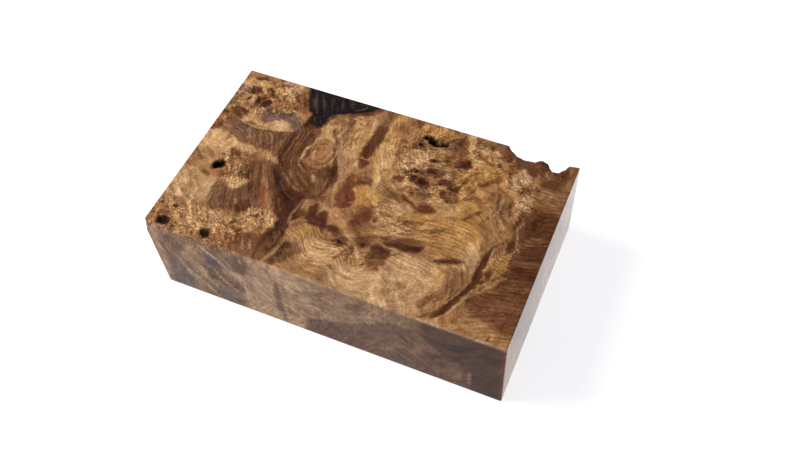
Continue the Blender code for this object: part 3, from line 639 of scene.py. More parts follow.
    ("plum", .7, .9, .5, (28.4, 7.4), (29.6, 4.2), (29, 1.6)),
    ("red", .5, 1, .7, (25.6, 3.4), (24.4, .8)),
    ("brown", .6, 3.6, 1.6, (35.4, 4.4), (38.6, 4.4)),
    ("plum", .8, (3.4, 4.8, 5.6, 5, 3), 1.4, (44.8, 20), (43.6, 15), (43.2, 10), (42.6, 5.4), (42.4, .5)),
    ("plum", .92, 4.6, 1.2, (44, 28), (44.2, 23), (43.4, 19)),
    ("maroon", .7, 1.8, 1, (45.9, 23), (47, 21.8)),
    ("olive", .7, 2.6, 1.2, (46.8, 39), (48.4, 34), (48, 30.6)),
    ("brown", .7, 1, .6, (50.4, 40), (50.6, 35), (51.4, 32)),
    ("brown", .6, .8, .5, (52.2, 39), (52.6, 34)), ("grey", .6, 1, .6, (51.4, 40), (51.8, 34)),
    ("plum", .7, 2.4, 1.1, (49.4, 29.4), (51.8, 30.4)), ("plum", .92, 3.6, 1, (50.6, 25), (51.2, 21.4)),
    ("plum", .9, 3.2, 1, (54.4, 24), (55.2, 21.4)),
    ("mid", .6, .6, .4, (53, 27.6), (52.8, 24), (53.6, 21.6)),
    ("caramel", .6, .5, .4, (50, 23), (53, 21), (57, 20.6)), ("maroon", .6, 1, .7, (50, 27), (50.6, 24)),
    ("plum", .85, 2.6, 1, (51, 21.4), (56.6, 20.4)),
    ("maroon", .95, (1.4, 5.4, 6.4, 4.2, 1.2), .8, (57.4, 38), (58.4, 35), (58.8, 33), (58.2, 31),
     (57, 29.6)),
    ("maroon", .9, (2, 3.8, 3.6, 1.6), 1.1, (64.6, 24.4), (66.6, 26), (67.6, 28.4), (69, 31.4)),
    ("olive", .7, 2.2, 1.1, (66.8, 24.2), (68.4, 21.8)),
    ("plum", .85, 1.9, .8, (58.6, 20.9), (61.2, 20.7)), ("plum", .8, 2, .8, (57, 20.6), (57.2, 18.4)),
    ("brown", .8, 1.6, .8, (61.4, 18.6), (63.8, 17.4)),
    ("plum", .85, 1.7, .7, (63.8, 16.7), (64.6, 16.4)),
    ("brown", .8, 2.8, 1.1, (70, 19.6), (73, 19.2)), ("plum", .85, 1.3, .6, (71.6, 18.5), (72.4, 18.2)),
    ("brown", .7, (1.4, 2.4, 2.4, 1.4), 1.6, (69.8, 17), (68.4, 14.6), (66.8, 12.2), (65.6, 10.6)),
    ("plum", .85, 3, 1.2, (76.4, 18.4), (80.4, 17.6)), ("caramel", .7, .6, .4, (75.6, 17), (77, 14.6)),
    ("maroon", .7, 1, .7, (79.6, 20), (80.4, 16)), ("brown", .7, 2.4, 1.2, (75.6, 15), (80.4, 14.6)),
    ("plum", .7, 1, .6, (79, 13.2), (80.2, 11.4)), ("brown", .7, .8, .5, (81.6, 17.6), (84.4, 20.2)),
    ("brown", .6, .6, .4, (66, 19), (72, 21.6), (79, 24)),
    ("brown", .7, .6, .4, (84, 25.6), (90, 29), (94, 31)),
    ("brown", .6, .6, .4, (82, 28), (88, 31), (92, 33)),
    ("plum", .85, (.8, 1.4, 2.2, 2.8, 2.4, 1), 1, (77.6, 21), (80, 21.6), (83, 22.2), (86.4, 22.4),
     (89, 23.2), (90.4, 25)), ("brown", .7, 1, .6, (77, 25.4), (82, 27), (86, 28.4)),
    ("brown", .6, .8, .5, (68, 20), (74, 22.5), (80, 25)),
    ("plum", .8, 1.2, .6, (77, 23.4), (78, 23.2)),
    ("field", .8, (2, 4, 4, 3), 1.2, (48, 9), (49.4, 7.2), (49, 4.4), (47.4, 1.6)),
    ("plum", .75, 1.7, .9, (48.4, 10), (49.8, 9)), ("plum", .75, 1.9, .9, (46.6, 3.2), (47.6, 1.8)),
    ("grey", .35, 3, 1.8, (64.4, 4.6), (67.6, 4.4)), ("olive", .85, 1.5, .7, (65.1, 7.2), (66, 6.8)),
    ("olive", .5, 3, 1.6, (83, 12), (85.6, 5)), ("brown", .7, 1.6, .8, (72, 32.2), (77, 31.8)),
    ("olive", .85, 1.9, .8, (80.2, 31.2), (86.8, 33.2)),
    ("brown", .8, (1, 2.2, 1), .8, (90, 31), (92, 32.2), (94, 33.4)),
    ("plum", .7, (.8, 1.2, 1.4, 1.2, .8), .8, (95, 20.8), (97.4, 21.8), (100, 22.8), (102.6, 23.8),
     (104.4, 24.7)),
    ("orange", .5, .8, .6, (102, 22), (104, 23.4)),
    ("brown", .7, 1.1, .7, (104, 24.6), (106, 23), (106.8, 20.4)),
    ("brown", .6, 1, .6, (104.4, 21.4), (105.6, 19)),
    ("brown", .75, .8, .5, (107, 33.4), (107.8, 30), (108.5, 27)),
    ("stripe", .85, (1.6, 2.6, 2.4, 2.4, 2.2, 2), .8, (111.3, 33), (110.2, 28.4), (109.5, 25),
     (109.8, 21), (109.4, 17), (108, 13.8)),
    ("stripe", .85, (2, 2.8, 2.6, 1.6), .8, (107.2, 14), (106, 10), (104.4, 6), (102, 2.4)),
    ("brown", .7, 2.4, 1, (113, 24), (112.8, 21.2)),
    ("plum", .85, (1, 2.4, 2.2, 1), 1, (115.8, 40.4), (116, 37), (115.8, 34), (115, 31.6)),
    ("olive", .8, 1.7, .9, (112.2, 31.4), (112.6, 29.8)),
    ("brown", .6, 1.2, .7, (113.4, 36), (113.2, 32)),
    ("brown", .8, 1, .6, (101.4, 19), (102.4, 15), (103, 12)),
    ("brown", .8, 1, .6, (103.4, 19), (104.4, 15), (104.6, 12.4)),
    ("brown", .7, (3.4, 3.4, 1.8), 2, (97.6, 5.2), (99.4, 7.2), (101.8, 9)),
    ("stripe", .6, .8, .6, (97.4, 4), (99.6, 6.4), (101.6, 8.8)),
    ("plum", .8, 1.2, .6, (98.4, .6), (100, 1.6), (101, 3.4)),
    ("olive", .6, 2, 1, (87.4, 9.2), (89.6, 8.6)), ("brown", .5, 1.4, 1, (110.4, 4), (113.6, 4.6)),
    ("plum", .7, 1.6, .8, (110.6, 12), (111.4, 11.8)), ("brown", .5, 1.2, .9, (108.4, 3), (111.4, 2.6)),
    ("black", .8, .7, .4, (119.9, 0), (120.9, 2.4)),
    ("brown", .7, 1, .7, (94, 57.6), (96.4, 60), (97.4, 63)),
    ("brown", .7, 1.3, .8, (94.6, 66.4), (98, 64.8), (103.6, 64.4)),
    ("brown", .65, 1, .6, (99.4, 60.4), (104, 62.8)),
    ("brown", .75, 1, .6, (104.4, 56), (107, 50), (110, 43)),
    ("plum", .65, .9, .5, (107, 58), (109.6, 52.6), (111.4, 47)),
    ("brown", .75, 1.1, .6, (105.6, 64), (107.4, 60), (108.6, 57)),
    ("brown", .65, 1.2, .8, (96, 47), (99, 49.8)), ("brown", .65, 1.2, .8, (92.6, 52), (94.6, 55.8)),
    ("brown", .6, 1.1, .8, (99, 50), (102, 46)),
    ("maroon", .8, 1.2, .7, (19.6, 70.6), (23.6, 67.4), (28.6, 62)),
    ("brown", .55, 1.6, 1.2, (2, 20), (7, 15)), ("brown", .5, 1.3, 1, (6, 23.4), (12, 18)),
    ("brown", .6, 1.4, 1, (8.6, 14.8), (14, 12.4)), ("brown", .6, 1, .7, (3, 36), (8, 33)),
    ("brown", .55, 1, .7, (1, 26), (5, 22.6)),
    ("brown", .7, .9, .5, (86, 34.4), (92, 36.6)),
    ("brown", .6, .9, .6, (40.6, 49.4), (42.6, 50.4), (44.6, 48.8)),
    ("brown", .6, 1.2, .8, (40, 43.4), (43, 44), (45.4, 46.6)),
    ("orange", .6, 1, .7, (39.4, 46), (41.6, 47.4), (44, 47)), ("plum", .6, 1, .6, (55, 36), (55.6, 32)),
    ("brown", .6, 1.1, .8, (117, 30), (127, 33)), ("plum", .5, 2, 1.2, (119, 50), (121, 44)),
    ("plum", .5, 2, 1.2, (122, 38), (124, 30)), ("brown", .6, 1.3, .8, (114, 10), (127, 14)),
    ("plum", .4, 3, 1.6, (121, 28), (127, 25)),
    ("maroon", .85, 1.3, .8, (24.4, 71.4), (27.2, 65.6), (30.4, 61)),
    ("stripe", .85, 1.3, .7, (35.8, 50), (35.6, 44.6), (37.6, 41.4), (41, 39.4)),
    ("grey", .7, 3.4, 2, (6, 50), (14, 46.6)), ("grey", .7, 2.6, 1.4, (.6, 66.4), (2, 62)),
    ("soot", .7, (1, 3, 3.4, 2.4), 1.4, (31, 35.4), (36, 30.4), (41, 26.4), (44, 22)),
    ("soot", .6, 2.6, 1.4, (43, 17), (42.8, 11)),
    ("soot", .7, 2.2, 1.2, (29.6, 41), (32.4, 37.4), (36, 33.6)),
    ("soot", .6, 1.6, 1, (48.6, 45.6), (50.6, 41), (51.6, 37.6)),
    ("soot", .7, 1.6, 1, (86, 22.4), (89, 23.6)), ("soot", .6, 1.6, 1, (51, 22.6), (55.6, 22)),
    ("soot", .7, 1.4, .9, (77, 19), (80, 18.6)), ("soot", .5, 1.4, .9, (29.6, 50), (29.8, 44)),
    ("soot", .6, 1.4, .9, (119.6, 48), (120.6, 44)), ("soot", .5, 2, 1.2, (122, 32), (126, 33)),
    ("soot", .6, 1, .7, (97, 21.6), (100, 22.6)), ("soot", .6, 1.6, 1, (90, 60.4), (92, 61.6)),
    ("soot", .7, 2.2, 1.2, (47.6, 8.4), (48.4, 5)),
    ("plum", .8, 1, .7, (111, 32), (109.9, 26), (109.5, 21), (108.4, 15), (106.4, 10), (103, 3)),
    ("grey", .5, 3, 1.6, (17, 57.6), (22, 58.6)), ("maroon", .9, 1.8, .8, (26.4, 67), (28.4, 63)),
    ("caramel", .6, 2, 1.2, (49.4, 14.4), (51, 13)), ("mid", .5, 3, 1.6, (89.6, 9), (92, 8)),
    ("mid", .7, 2.2, 1.2, (76.6, 14.2), (79.6, 14)), ("mid", .6, 2.4, 1.4, (123.4, 72), (125.6, 70)),
    ("caramel", .6, 2.4, 1.2, (41.6, 57), (43.6, 55)), ("maroon", .9, 2.4, 1.2, (87.6, 47.4), (90.4, 45)),
    ("maroon", .85, 1.3, .7, (81.6, 38.6), (84, 39.6), (87, 39.4)),
    ("maroon", .8, 2.2, 1, (70.8, 46.6), (72.6, 47.6)),
    ("brown", .9, 3, 1, (125.6, 73.6), (124.6, 69.6)), ("brown", .6, 1.2, .7, (30, 10.6), (32.4, 12.6)),
    ("mid", .7, 3, 1.4, (47.6, 36.6), (48.4, 32)), ("brown", .6, 2.4, 1.8, (103.6, 19), (104.4, 12)),
    ("mid", .5, 1.4, .9, (48, 6.4), (52, 8.4)),
    ("mid", .4, 2.2, 1.6, (44, 12), (43.6, 7)), ("caramel", .4, 2, 1.4, (49.6, 15), (51.4, 12.6)),
    ("brown", .7, .6, .4, (45.4, 52.6), (46.6, 49), (46.4, 45.6), (44, 43), (41, 42.2)),
    ("brown", .6, .6, .4, (39.8, 51), (38.9, 48), (39.4, 44.6), (41.4, 43.4)),
    ("brown", .55, .5, .4, (41.4, 50.4), (40.8, 47.8), (41.8, 45.6), (43.4, 45.8)),
    ("brown", .7, .6, .4, (45, 57.4), (44.6, 60.4), (42.4, 64)),
    ("brown", .6, .5, .4, (41.6, 57), (40.6, 60.6), (41.4, 64)),
    ("plum", .5, .6, .4, (30.4, 56), (30.2, 48), (30.4, 41)),
    ("plum", .5, .6, .4, (32.4, 57), (32, 50), (32.4, 42)),
    ("plum", .5, .6, .4, (36.4, 56), (35.8, 50), (35.2, 44)),
    ("plum", .45, .5, .4, (37.6, 54), (36.6, 50), (36, 46)),
    ("brown", .9, .8, .5, (112, 21), (115, 28.6), (117.4, 33)),
    ("brown", .85, .8, .5, (112.4, 17.6), (115, 21), (119, 28)),
    ("stripe", .7, 1, .7, (110.8, 33), (113, 35.4), (114.6, 38)),
    ("brown", .8, .8, .5, (113.6, 31), (115.6, 35.6)),
    ("brown", .7, .7, .4, (112.6, 26), (113.6, 30), (114.6, 32.6)),
    ("brown", .8, .5, .35, (114, 20.6), (117, 27), (119, 31)),
    ("plum", .7, 1.4, .8, (112.8, 24.4), (113, 21)),
    ("plum", .6, .8, .5, (104, 40), (105.6, 44), (107, 50)),
    ("brown", .7, .7, .5, (94, 45), (97, 51), (98, 56)), ("brown", .6, .6, .4, (101, 45), (104.6, 41)),
    ("brown", .5, .5, .4, (62.6, 57), (64.6, 50), (66.4, 44)),
    ("brown", .5, .5, .4, (60, 46), (62.6, 44.6), (65, 45.6)),
    ("brown", .6, .5, .4, (47, 62), (48.4, 54), (50.6, 47)),
    ("brown", .5, .5, .4, (49, 64), (49.8, 57), (51.6, 51)),
    ("mid", .5, 2.2, 1.4, (118.6, 29), (127, 32)), ("mid", .5, 2, 1.4, (117.6, 19), (127, 22)),
    ("mid", .45, 2, 1.4, (119, 39), (127, 42)), ("mid", .4, 2, 1.4, (118, 12), (127, 14.6)),
    ("brown", .6, 1.6, 1, (113, 8), (120, 10)),
    ("brown", .6, .6, .4, (35, 7.6), (38, 2)), ("brown", .6, .6, .4, (38.4, 7.6), (40.6, 3)),
    ("brown", .6, .7, .4, (31.6, 8), (34.6, 1)),
    ("brown", .7, .6, .4, (30, 12.6), (33.4, 15.4), (37, 14)),
    ("brown", .6, .7, .4, (36, 12), (39.4, 9.6)))

# Pale wood between the streaks: cream and gold bands, and the thin light growth lines
PALE = (
    ("gold", .7, 1.6, .9, (2, 67.5), (4, 70)), ("cream", .7, 1.2, .8, (12, 58.8), (12.6, 58.2)),
    ("cream", .7, .6, .4, (17, 58.5), (22, 60.5), (25, 62)),
    ("straw", .7, .7, .5, (16, 67), (19.6, 68.8), (22, 71)),
    ("bright", .7, 1.2, .8, (16.4, 66.8), (19, 63.6)), ("orange", .7, 1.8, 1, (29.4, 62.4), (29.6, 60.6)),
    ("orange", .7, .9, .6, (24.6, 69), (27, 64.4), (30.4, 60.6)),
    ("caramel", .6, 1, .7, (23.6, 73), (25.4, 67.4)),
    ("cream", .85, .7, .4, (9.5, 51.3), (12, 50.6), (16, 50.5), (20, 51), (24, 52), (29, 53.5)),
    ("straw", .4, (1, 2.2, 2.4, 1), 1, (17.6, 52), (20.6, 53.4), (23.6, 54.8), (27.2, 56)),
    ("straw", .5, .8, .5, (13, 50), (17, 42.6)), ("straw", .5, .8, .5, (17.4, 50), (21.4, 42.6)),
    ("straw", .5, .8, .5, (21.6, 50), (25.6, 43)), ("straw", .45, .7, .5, (15.4, 49), (18, 44)),
    ("tan", .6, .45, .3, (31.4, 56), (31.2, 46), (31.4, 40)),
    ("tan", .45, .4, .3, (29.2, 52), (29, 46), (29.6, 41)),
    ("tan", .6, .45, .3, (34.7, 57), (33.9, 50), (33.5, 43)),
    ("tan", .4, .4, .3, (33.2, 57), (32.8, 51), (32.8, 44)),
    ("tan", .6, .5, .4, (34, 43), (35, 38.6), (39, 34), (44, 31)),
    ("cream", .8, .5, .35, (39.6, 52.4), (38, 50), (37, 47), (36.7, 44), (36.8, 42), (38, 40.5),
     (41, 38.5)),
    ("straw", .6, .8, .5, (41, 55.4), (43.4, 54.6)),
    ("cream", .8, .9, .5, (43.6, 56), (44.5, 54), (45.3, 52)),
    ("straw", .5, .6, .4, (49.6, 66), (50.2, 60), (52, 54)),
    ("straw", .5, .6, .4, (52.6, 66), (52.6, 58), (54, 50)),
    ("straw", .6, .6, .4, (51, 50), (53, 42)), ("cream", .8, .6, .4, (56, 51.2), (59, 51)),
    ("cream", .8, 1.3, .7, (55, 46), (55.6, 48), (56, 50)),
    ("straw", .6, .6, .4, (60.4, 42.4), (63, 43.2)), ("orange", .7, .8, .5, (60.4, 58), (61.4, 54.6)),
    ("cream", .85, (1.2, 1.8, 2, 1.6, 1.2), .8, (60.8, 58.4), (63, 53), (64.4, 48), (65.6, 43),
     (65.8, 37.6)), ("cream", .8, 1.3, .7, (66.2, 45.4), (67.8, 42), (69.6, 39.6)),
    ("cream", .5, .8, .5, (60.4, 72), (60.8, 66), (60.4, 61)),
    ("straw", .6, .8, .5, (62.8, 72), (62.6, 66), (63, 60)),
    ("orange", .6, 2.2, 1.2, (72.4, 71.4), (79, 72.6)), ("bright", .7, .9, .6, (78.6, 60.8), (83.8, 63)),
    ("bright", .7, .9, .6, (79, 63), (83, 65)), ("straw", .7, .6, .4, (80, 56.5), (86, 58.6)),
    ("bright", .7, 1.4, .8, (81.4, 50.6), (82.8, 50.4)), ("straw", .5, .6, .4, (70, 56.6), (75, 55.4)),
    ("straw", .5, .5, .4, (69.6, 53.6), (74, 52.4)), ("straw", .5, .6, .4, (77.6, 56.6), (80, 56)),
    ("cream", .85, 1, .6, (76.5, 43), (79, 41), (82, 39.4)),
    ("straw", .6, .8, .5, (69, 44.6), (72.4, 43), (76, 40.4)),
    ("straw", .5, .7, .5, (69.6, 47), (72.8, 45.6), (76, 44.4)),
    ("orange", .8, .8, .5, (84.5, 61.4), (88, 62.6), (91, 64), (95, 66), (97.4, 66.8)),
    ("straw", .85, .7, .4, (84, 56.4), (87, 57.8), (90, 58.9), (93.4, 58.4)),
    ("straw", .6, 1.5, .8, (86.2, 54), (88, 54.2)), ("gold", .8, .8, .5, (86, 49), (90, 48.8)),
    ("orange", .8, .9, .5, (95, 65), (98.2, 63)), ("cream", .6, 3, 1.6, (93.4, 64), (96.6, 61.6)),
    ("straw", .6, .8, .5, (94, 70), (98, 66.4)), ("straw", .6, .8, .5, (96.4, 71), (100.6, 66.8)),
    ("straw", .7, 1.6, 1, (90, 72.6), (90.2, 69)),
    ("bright", .6, .8, .5, (98.4, 57), (102.4, 60)), ("cream", .7, 1.2, .7, (111, 65), (112.8, 63)),
    ("cream", .6, .8, .5, (107.6, 61), (109, 64.6)), ("cream", .6, .8, .5, (108.8, 59), (110, 57)),
    ("orange", .7, .8, .5, (117, 69), (119.2, 65.2)),
    ("cream", .8, 1.4, .8, (113.4, 53.6), (114.4, 52.4)), ("cream", .8, 1.3, .8, (115, 56), (116, 54.8)),
    ("cream", .75, 1, .6, (115.6, 51.6), (116.6, 50.4)), ("gold", .35, .7, .5, (118, 58), (127, 61)),
    ("gold", .35, .7, .5, (117.4, 54), (127, 57)),
    ("gold", .3, .7, .5, (119, 51.4), (127, 54)),
    ("gold", .6, (.6, 1.2, .6), .9, (123.8, 74.4), (124.6, 72.6), (125, 70)),
    ("bright", .7, 1.4, .9, (91, 55), (90.4, 51)), ("bright", .7, 1.6, .9, (95, 56), (94.4, 52.6)),
    ("cream", .75, .9, .5, (107, 54.6), (107.4, 51), (108, 47.6)),
    ("cream", .75, .9, .5, (109, 44.6), (110, 42.4), (111.6, 40.4)),
    ("straw", .6, .7, .5, (104.8, 55), (105.6, 50), (107, 45)),
    ("straw", .6, .7, .5, (112, 53), (112.4, 49)),
    ("cream", .75, 1.6, 1, (113.4, 48), (113.6, 46)),
    ("cream", .8, .5, .35, (117, 46), (116, 42), (117, 38)),
    ("bright", .75, 2, 1.2, (84.8, 46.4), (86.6, 42)),
    ("straw", .75, .7, .5, (91, 43), (92.6, 43.6), (94.2, 45)),
    ("bright", .8, 1.8, 1, (90.8, 39.6), (92.6, 39.4)),
    ("straw", .7, .7, .5, (14, 25), (16.5, 25.9), (19, 26.8)),
    ("straw", .7, .9, .6, (16.8, 34.6), (17.4, 33.4)), ("straw", .7, .9, .6, (18.8, 30.2), (19.4, 28.8)),
    ("straw", .5, 1.2, 1.1, (19.6, 26.6), (23, 25.4)),
    ("tan", .6, .5, .35, (15.5, 24), (16, 20), (15.8, 16), (16.5, 13.6), (18, 12.7), (22, 12)),
    ("orange", .5, .7, .5, (23.4, 36), (25.8, 31), (29, 24)),
    ("orange", .5, .7, .5, (25.6, 37), (29, 31), (31.4, 26)),
    ("straw", .5, .6, .4, (23, 22), (25.8, 16.8)), ("straw", .5, .6, .4, (21.4, 20.6), (23.4, 15.6)),
    ("tan", .7, .5, .35, (31.6, 38.4), (34.5, 35.2), (37, 33.2), (40, 31.2), (43, 30)),
    ("line", .7, .5, .4, (37.8, 25.2), (40.6, 20.6)), ("straw", .5, .5, .4, (36.6, 23.4), (39, 19.6)),
    ("cream", .85, 1.4, .8, (31, 17.6), (33, 16.8)), ("cream", .8, 1.2, .7, (35.8, 19), (37.2, 18)),
    ("cream", .85, 1, .6, (37, 16.8), (39, 15.4)), ("bright", .8, 1.8, 1, (38.6, 14.8), (41.4, 14.2)),
    ("straw", .7, 1.6, 1, (29.4, 13.6), (32.4, 10.6)), ("straw", .5, 3, 2, (15.6, 10.4), (20.4, 10)),
    ("straw", .6, .7, .5, (5, 14), (12, 12.4), (14.6, 11)),
    ("straw", .6, .7, .5, (0, 18), (5, 15.6)), ("straw", .6, .7, .5, (1, 25), (6, 19)),
    ("straw", .6, 1, .7, (10.6, 5.6), (16, 4.6), (18.4, 6)),
    ("straw", .7, .6, .4, (33.6, 7.6), (36.6, 2.6)), ("straw", .7, .6, .4, (36.6, 7.6), (39.4, 2.4)),
    ("straw", .6, .6, .4, (30.8, 7), (33.4, 1.6)),
    ("tan", .85, (.5, .7, .7, .7, .6, .6, .5), .5, (45.9, 27.6), (45.5, 23.6), (44.9, 20), (46.3, 16.5),
     (47.4, 12), (47.3, 9), (46.2, 3.6)), ("straw", .7, 1.6, .9, (44.4, 38), (45.4, 36.2)),
    ("cream", .8, .8, .5, (53, 38), (54, 33.4), (56, 29.6)),
    ("straw", .6, .7, .5, (49.4, 39), (50, 34.6)),
    ("cream", .7, 1.6, 1, (52.6, 28), (55, 27)),
    ("straw", .7, .7, .4, (46.4, 17.8), (49, 20), (51, 20.2)),
    ("straw", .7, .7, .4, (47.6, 15.6), (51, 18), (56.4, 13.4), (60, 15.8), (64, 19.4)),
    ("straw", .6, .6, .4, (47.8, 13.4), (51, 15.8), (56.4, 11.2), (60.4, 13.6), (65, 17.4)),
    ("cream", .6, .6, .4, (48.2, 11.6), (51.2, 13.4), (56.5, 9), (61, 11.6), (66, 15)),
    ("straw", .6, .6, .4, (56.6, 6.8), (61, 9.2), (65.6, 12)),
    ("straw", .6, .6, .4, (57, 4.6), (61, 6.8), (65, 9)), ("straw", .6, .6, .4, (57.6, 2.4), (62, 4.6)),
    ("cream", .85, 1.3, .7, (69.6, 17.2), (72.4, 13.8)), ("orange", .7, .8, .6, (60, 24), (64, 22)),
    ("straw", .6, .6, .4, (62.6, 21.6), (66, 19.8), (68.8, 16)),
    ("straw", .6, .8, .5, (60.4, 32), (65, 33.8)),
    ("cream", .8, .7, .5, (68, 13), (69.6, 8.4), (72, 6.6), (74.6, 8.4), (76, 13)),
    ("cream", .7, .6, .4, (70, 13), (71.2, 9.6), (72.6, 8.8), (73.6, 10), (74.4, 13)),
    ("straw", .7, .7, .5, (74.6, 22), (79.4, 20.4), (82.4, 21)),
    ("straw", .7, .7, .5, (74, 24), (81, 26.2), (90, 27.4)),
    ("cream", .6, .6, .4, (70, 22.6), (76, 25.2), (84, 28.6)),
    ("straw", .7, .8, .5, (70, 30.2), (71.6, 31.6), (73, 30.6), (73.2, 28.2), (71.4, 27), (70, 28.4)),
    ("cream", .7, .8, .5, (71, 36), (75, 36.8), (79, 35.4)),
    ("straw", .7, .8, .5, (72, 34.2), (77, 34.2), (81, 33)),
    ("bright", .85, 1.6, .9, (83, 35.4), (86.6, 34.8)),
    ("straw", .6, .6, .4, (82.6, 14), (83.6, 8), (83.2, 3)),
    ("straw", .6, .6, .4, (85, 13), (85.6, 7), (85.4, 2)), ("straw", .6, .6, .4, (88.6, 13), (89.6, 3)),
    ("straw", .6, .6, .4, (91, 13), (92, 3)), ("straw", .6, .6, .4, (93.4, 12.6), (94.4, 3)),
    ("straw", .7, .7, .5, (84, 16.4), (90, 18.6), (96, 20.4)),
    ("straw", .6, .6, .4, (84, 14.4), (90, 16.4), (96, 18.8), (100, 20.4)),
    ("straw", .6, .6, .4, (91, 24.6), (97, 26), (103, 27.4)),
    ("straw", .6, .6, .4, (90, 27.6), (96, 29), (103, 30)),
    ("straw", .6, .6, .4, (88, 29.6), (96, 32), (103, 33.4)),
    ("straw", .6, .6, .4, (86, 31), (96, 34.6), (103, 36.4)),
    ("gold", .6, .7, .5, (92, 36.6), (98, 38.4)), ("cream", .8, 2.6, 1.4, (105, 29.6), (106, 24.6)),
    ("straw", .75, .9, .6, (101.6, 21.4), (104.4, 23.2)),
    ("cream", .75, .9, .5, (108, 36.6), (109, 35), (110.2, 33.6)),
    ("straw", .75, .5, .35, (109, 28), (108.6, 23), (108.6, 18), (107.5, 15), (105.2, 10), (103.4, 6.8)),
    ("cream", .85, .7, .4, (111.6, 33), (111.7, 28), (111.1, 23.6)),
    ("cream", .8, .7, .4, (110.4, 16), (108.7, 11), (107.1, 7), (104, 2.6)),
    ("straw", .85, .7, .4, (114.3, 26), (114.6, 21), (113.2, 17)),
    ("bright", .85, .9, .5, (117, 40.4), (117.5, 36.4), (119, 34)),
    ("straw", .75, .6, .4, (114.5, 36), (114.5, 28)), ("orange", .8, .9, .5, (97.4, 8.8), (100, 11.2)),
    ("bright", .8, (4, 2.4, .6), 1, (98.6, 18.6), (99, 15), (99.6, 11.4)),
    ("straw", .7, .6, .4, (102, 19), (103.4, 13)),
    ("straw", .8, .9, .5, (121.5, 3), (121.4, 1)), ("straw", .35, .7, .5, (110, 15), (118, 18)),
    ("straw", .3, .6, .5, (111, 8), (119, 10.6)), ("straw", .5, .6, .5, (113, 1.6), (120, 3.4)),
    ("gold", .3, .6, .5, (118, 37), (127, 40)), ("gold", .3, .6, .5, (118, 30), (127, 32.6)),
    ("gold", .3, .6, .5, (116, 22), (127, 25)),
    ("cream", .6, .6, .5, (43.6, 58.6), (43.4, 61.4), (41.6, 65)),
    ("straw", .7, .6, .4, (39.6, 56.6), (39, 60), (40, 64)),
    ("cream", .7, .5, .35, (45, 54), (47.4, 50), (47.6, 46.4), (45.8, 43.4), (42.4, 41.6)),
    ("straw", .7, .5, .35, (43.8, 52.6), (45.6, 49.6), (45.4, 46.6), (43.6, 44.6), (41.2, 44.2)),
    ("straw", .6, .5, .35, (42.4, 51.6), (43.8, 49), (43.4, 47.2)),
    ("cream", .6, .5, .35, (40.2, 49.6), (39.8, 46.6), (40.8, 44.8)),
    ("gold", .8, .9, .5, (111.4, 19.6), (114, 26), (117.8, 34)),
    ("bright", .85, .8, .5, (110.8, 15), (113.8, 20.6), (118.4, 29)),
    ("gold", .8, .8, .5, (111.4, 24), (113, 29), (115, 33.6)),
    ("gold", .7, .7, .5, (109.4, 12), (114, 17.6), (119, 24)),
    ("straw", .8, .6, .4, (104.4, 24.6), (106.6, 26.4), (108, 23.4), (107.6, 20)),
    ("cream", .7, 1.2, .8, (105.4, 33.6), (106.4, 29)),
    ("gold", .7, .6, .4, (103, 1.6), (106, 5.4), (109, 11)),
    ("cream", .7, .6, .4, (98.6, 4), (100, 6.4), (101, 9)),
    ("line", .6, .5, .4, (22.6, 36), (24.4, 29), (27.4, 21), (30.4, 15)),
    ("line", .6, .5, .4, (24.4, 37), (26.6, 30), (29.6, 22), (32.4, 17)),
    ("line", .55, .5, .4, (20.4, 22.6), (21.4, 18), (23.6, 15)),
    ("line", .55, .5, .4, (18.4, 23), (19, 18.6), (20.6, 15)),
    ("line", .5, .5, .4, (22.6, 22.6), (24, 18.6), (26, 15.8)),
    ("line", .5, .5, .4, (26.4, 37.6), (28.6, 32), (31, 26)),
    ("line", .5, .5, .4, (25, 24), (27, 19), (29, 15.6)), ("line", .5, .5, .4, (11, 48.6), (14, 43.4)),
    ("line", .5, .5, .4, (14, 49.6), (17, 43)),
    ("line", .5, .5, .4, (17, 49.6), (20, 43)), ("line", .5, .5, .4, (20, 49.8), (23, 44)),
    ("line", .5, .5, .4, (23, 50.6), (26, 44)), ("line", .5, .5, .4, (26, 51), (28, 45)),
    ("line", .5, .5, .4, (29.6, 36), (33, 30.6), (37, 26)),
    ("line", .5, .5, .4, (35, 32), (39, 28), (43.6, 26)),
    ("line", .4, .5, .4, (39.6, 16), (42, 10), (42.6, 4)),
    ("line", .4, .5, .4, (43, 17), (44.6, 12), (44.6, 6)),
    ("tan", .5, .5, .4, (36, 39.6), (40, 36.4), (45, 33)),
    ("tan", .5, .5, .4, (43.6, 41.4), (46, 38), (47.4, 33)),
    ("cream", .8, .5, .35, (77.6, 55), (82, 56.4), (86, 57.4)),
    ("cream", .8, .5, .35, (79, 62.2), (83.4, 64.4)), ("cream", .7, .6, .4, (76.4, 57.6), (80, 60.6)),
    ("cream", .8, .5, .35, (73, 50), (75.4, 51.4), (78, 52)),
    ("straw", .8, .5, .35, (78, 66), (82.6, 66.4)),
    ("cream", .7, .6, .4, (71, 60), (73, 61.6), (76, 61)),
    ("cream", .7, .5, .35, (74, 46), (77.6, 46.6), (80, 45.6)),
    ("straw", .8, .6, .4, (82.6, 48), (85.6, 49.6)),
    ("straw", .7, .5, .35, (64.6, 57), (67, 49), (69, 44.6)),
    ("straw", .6, .5, .35, (66.6, 54), (68.4, 48.6)),
    ("bright", .7, .7, .5, (94, 47), (96.4, 52), (97, 57)),
    ("bright", .7, .8, .5, (99, 45), (101.6, 49), (103, 54)),
    ("cream", .6, .7, .5, (105, 47), (106.4, 42.6), (109.6, 38.6)),
    ("straw", .7, .6, .4, (100, 62), (103, 64.8)), ("cream", .6, .6, .4, (96, 68.6), (99.6, 71)),
    ("straw", .6, .5, .35, (19, 61.4), (22.4, 63), (24.6, 65.6)),
    ("straw", .6, .6, .4, (9, 70), (12, 71.4), (14.6, 70)),
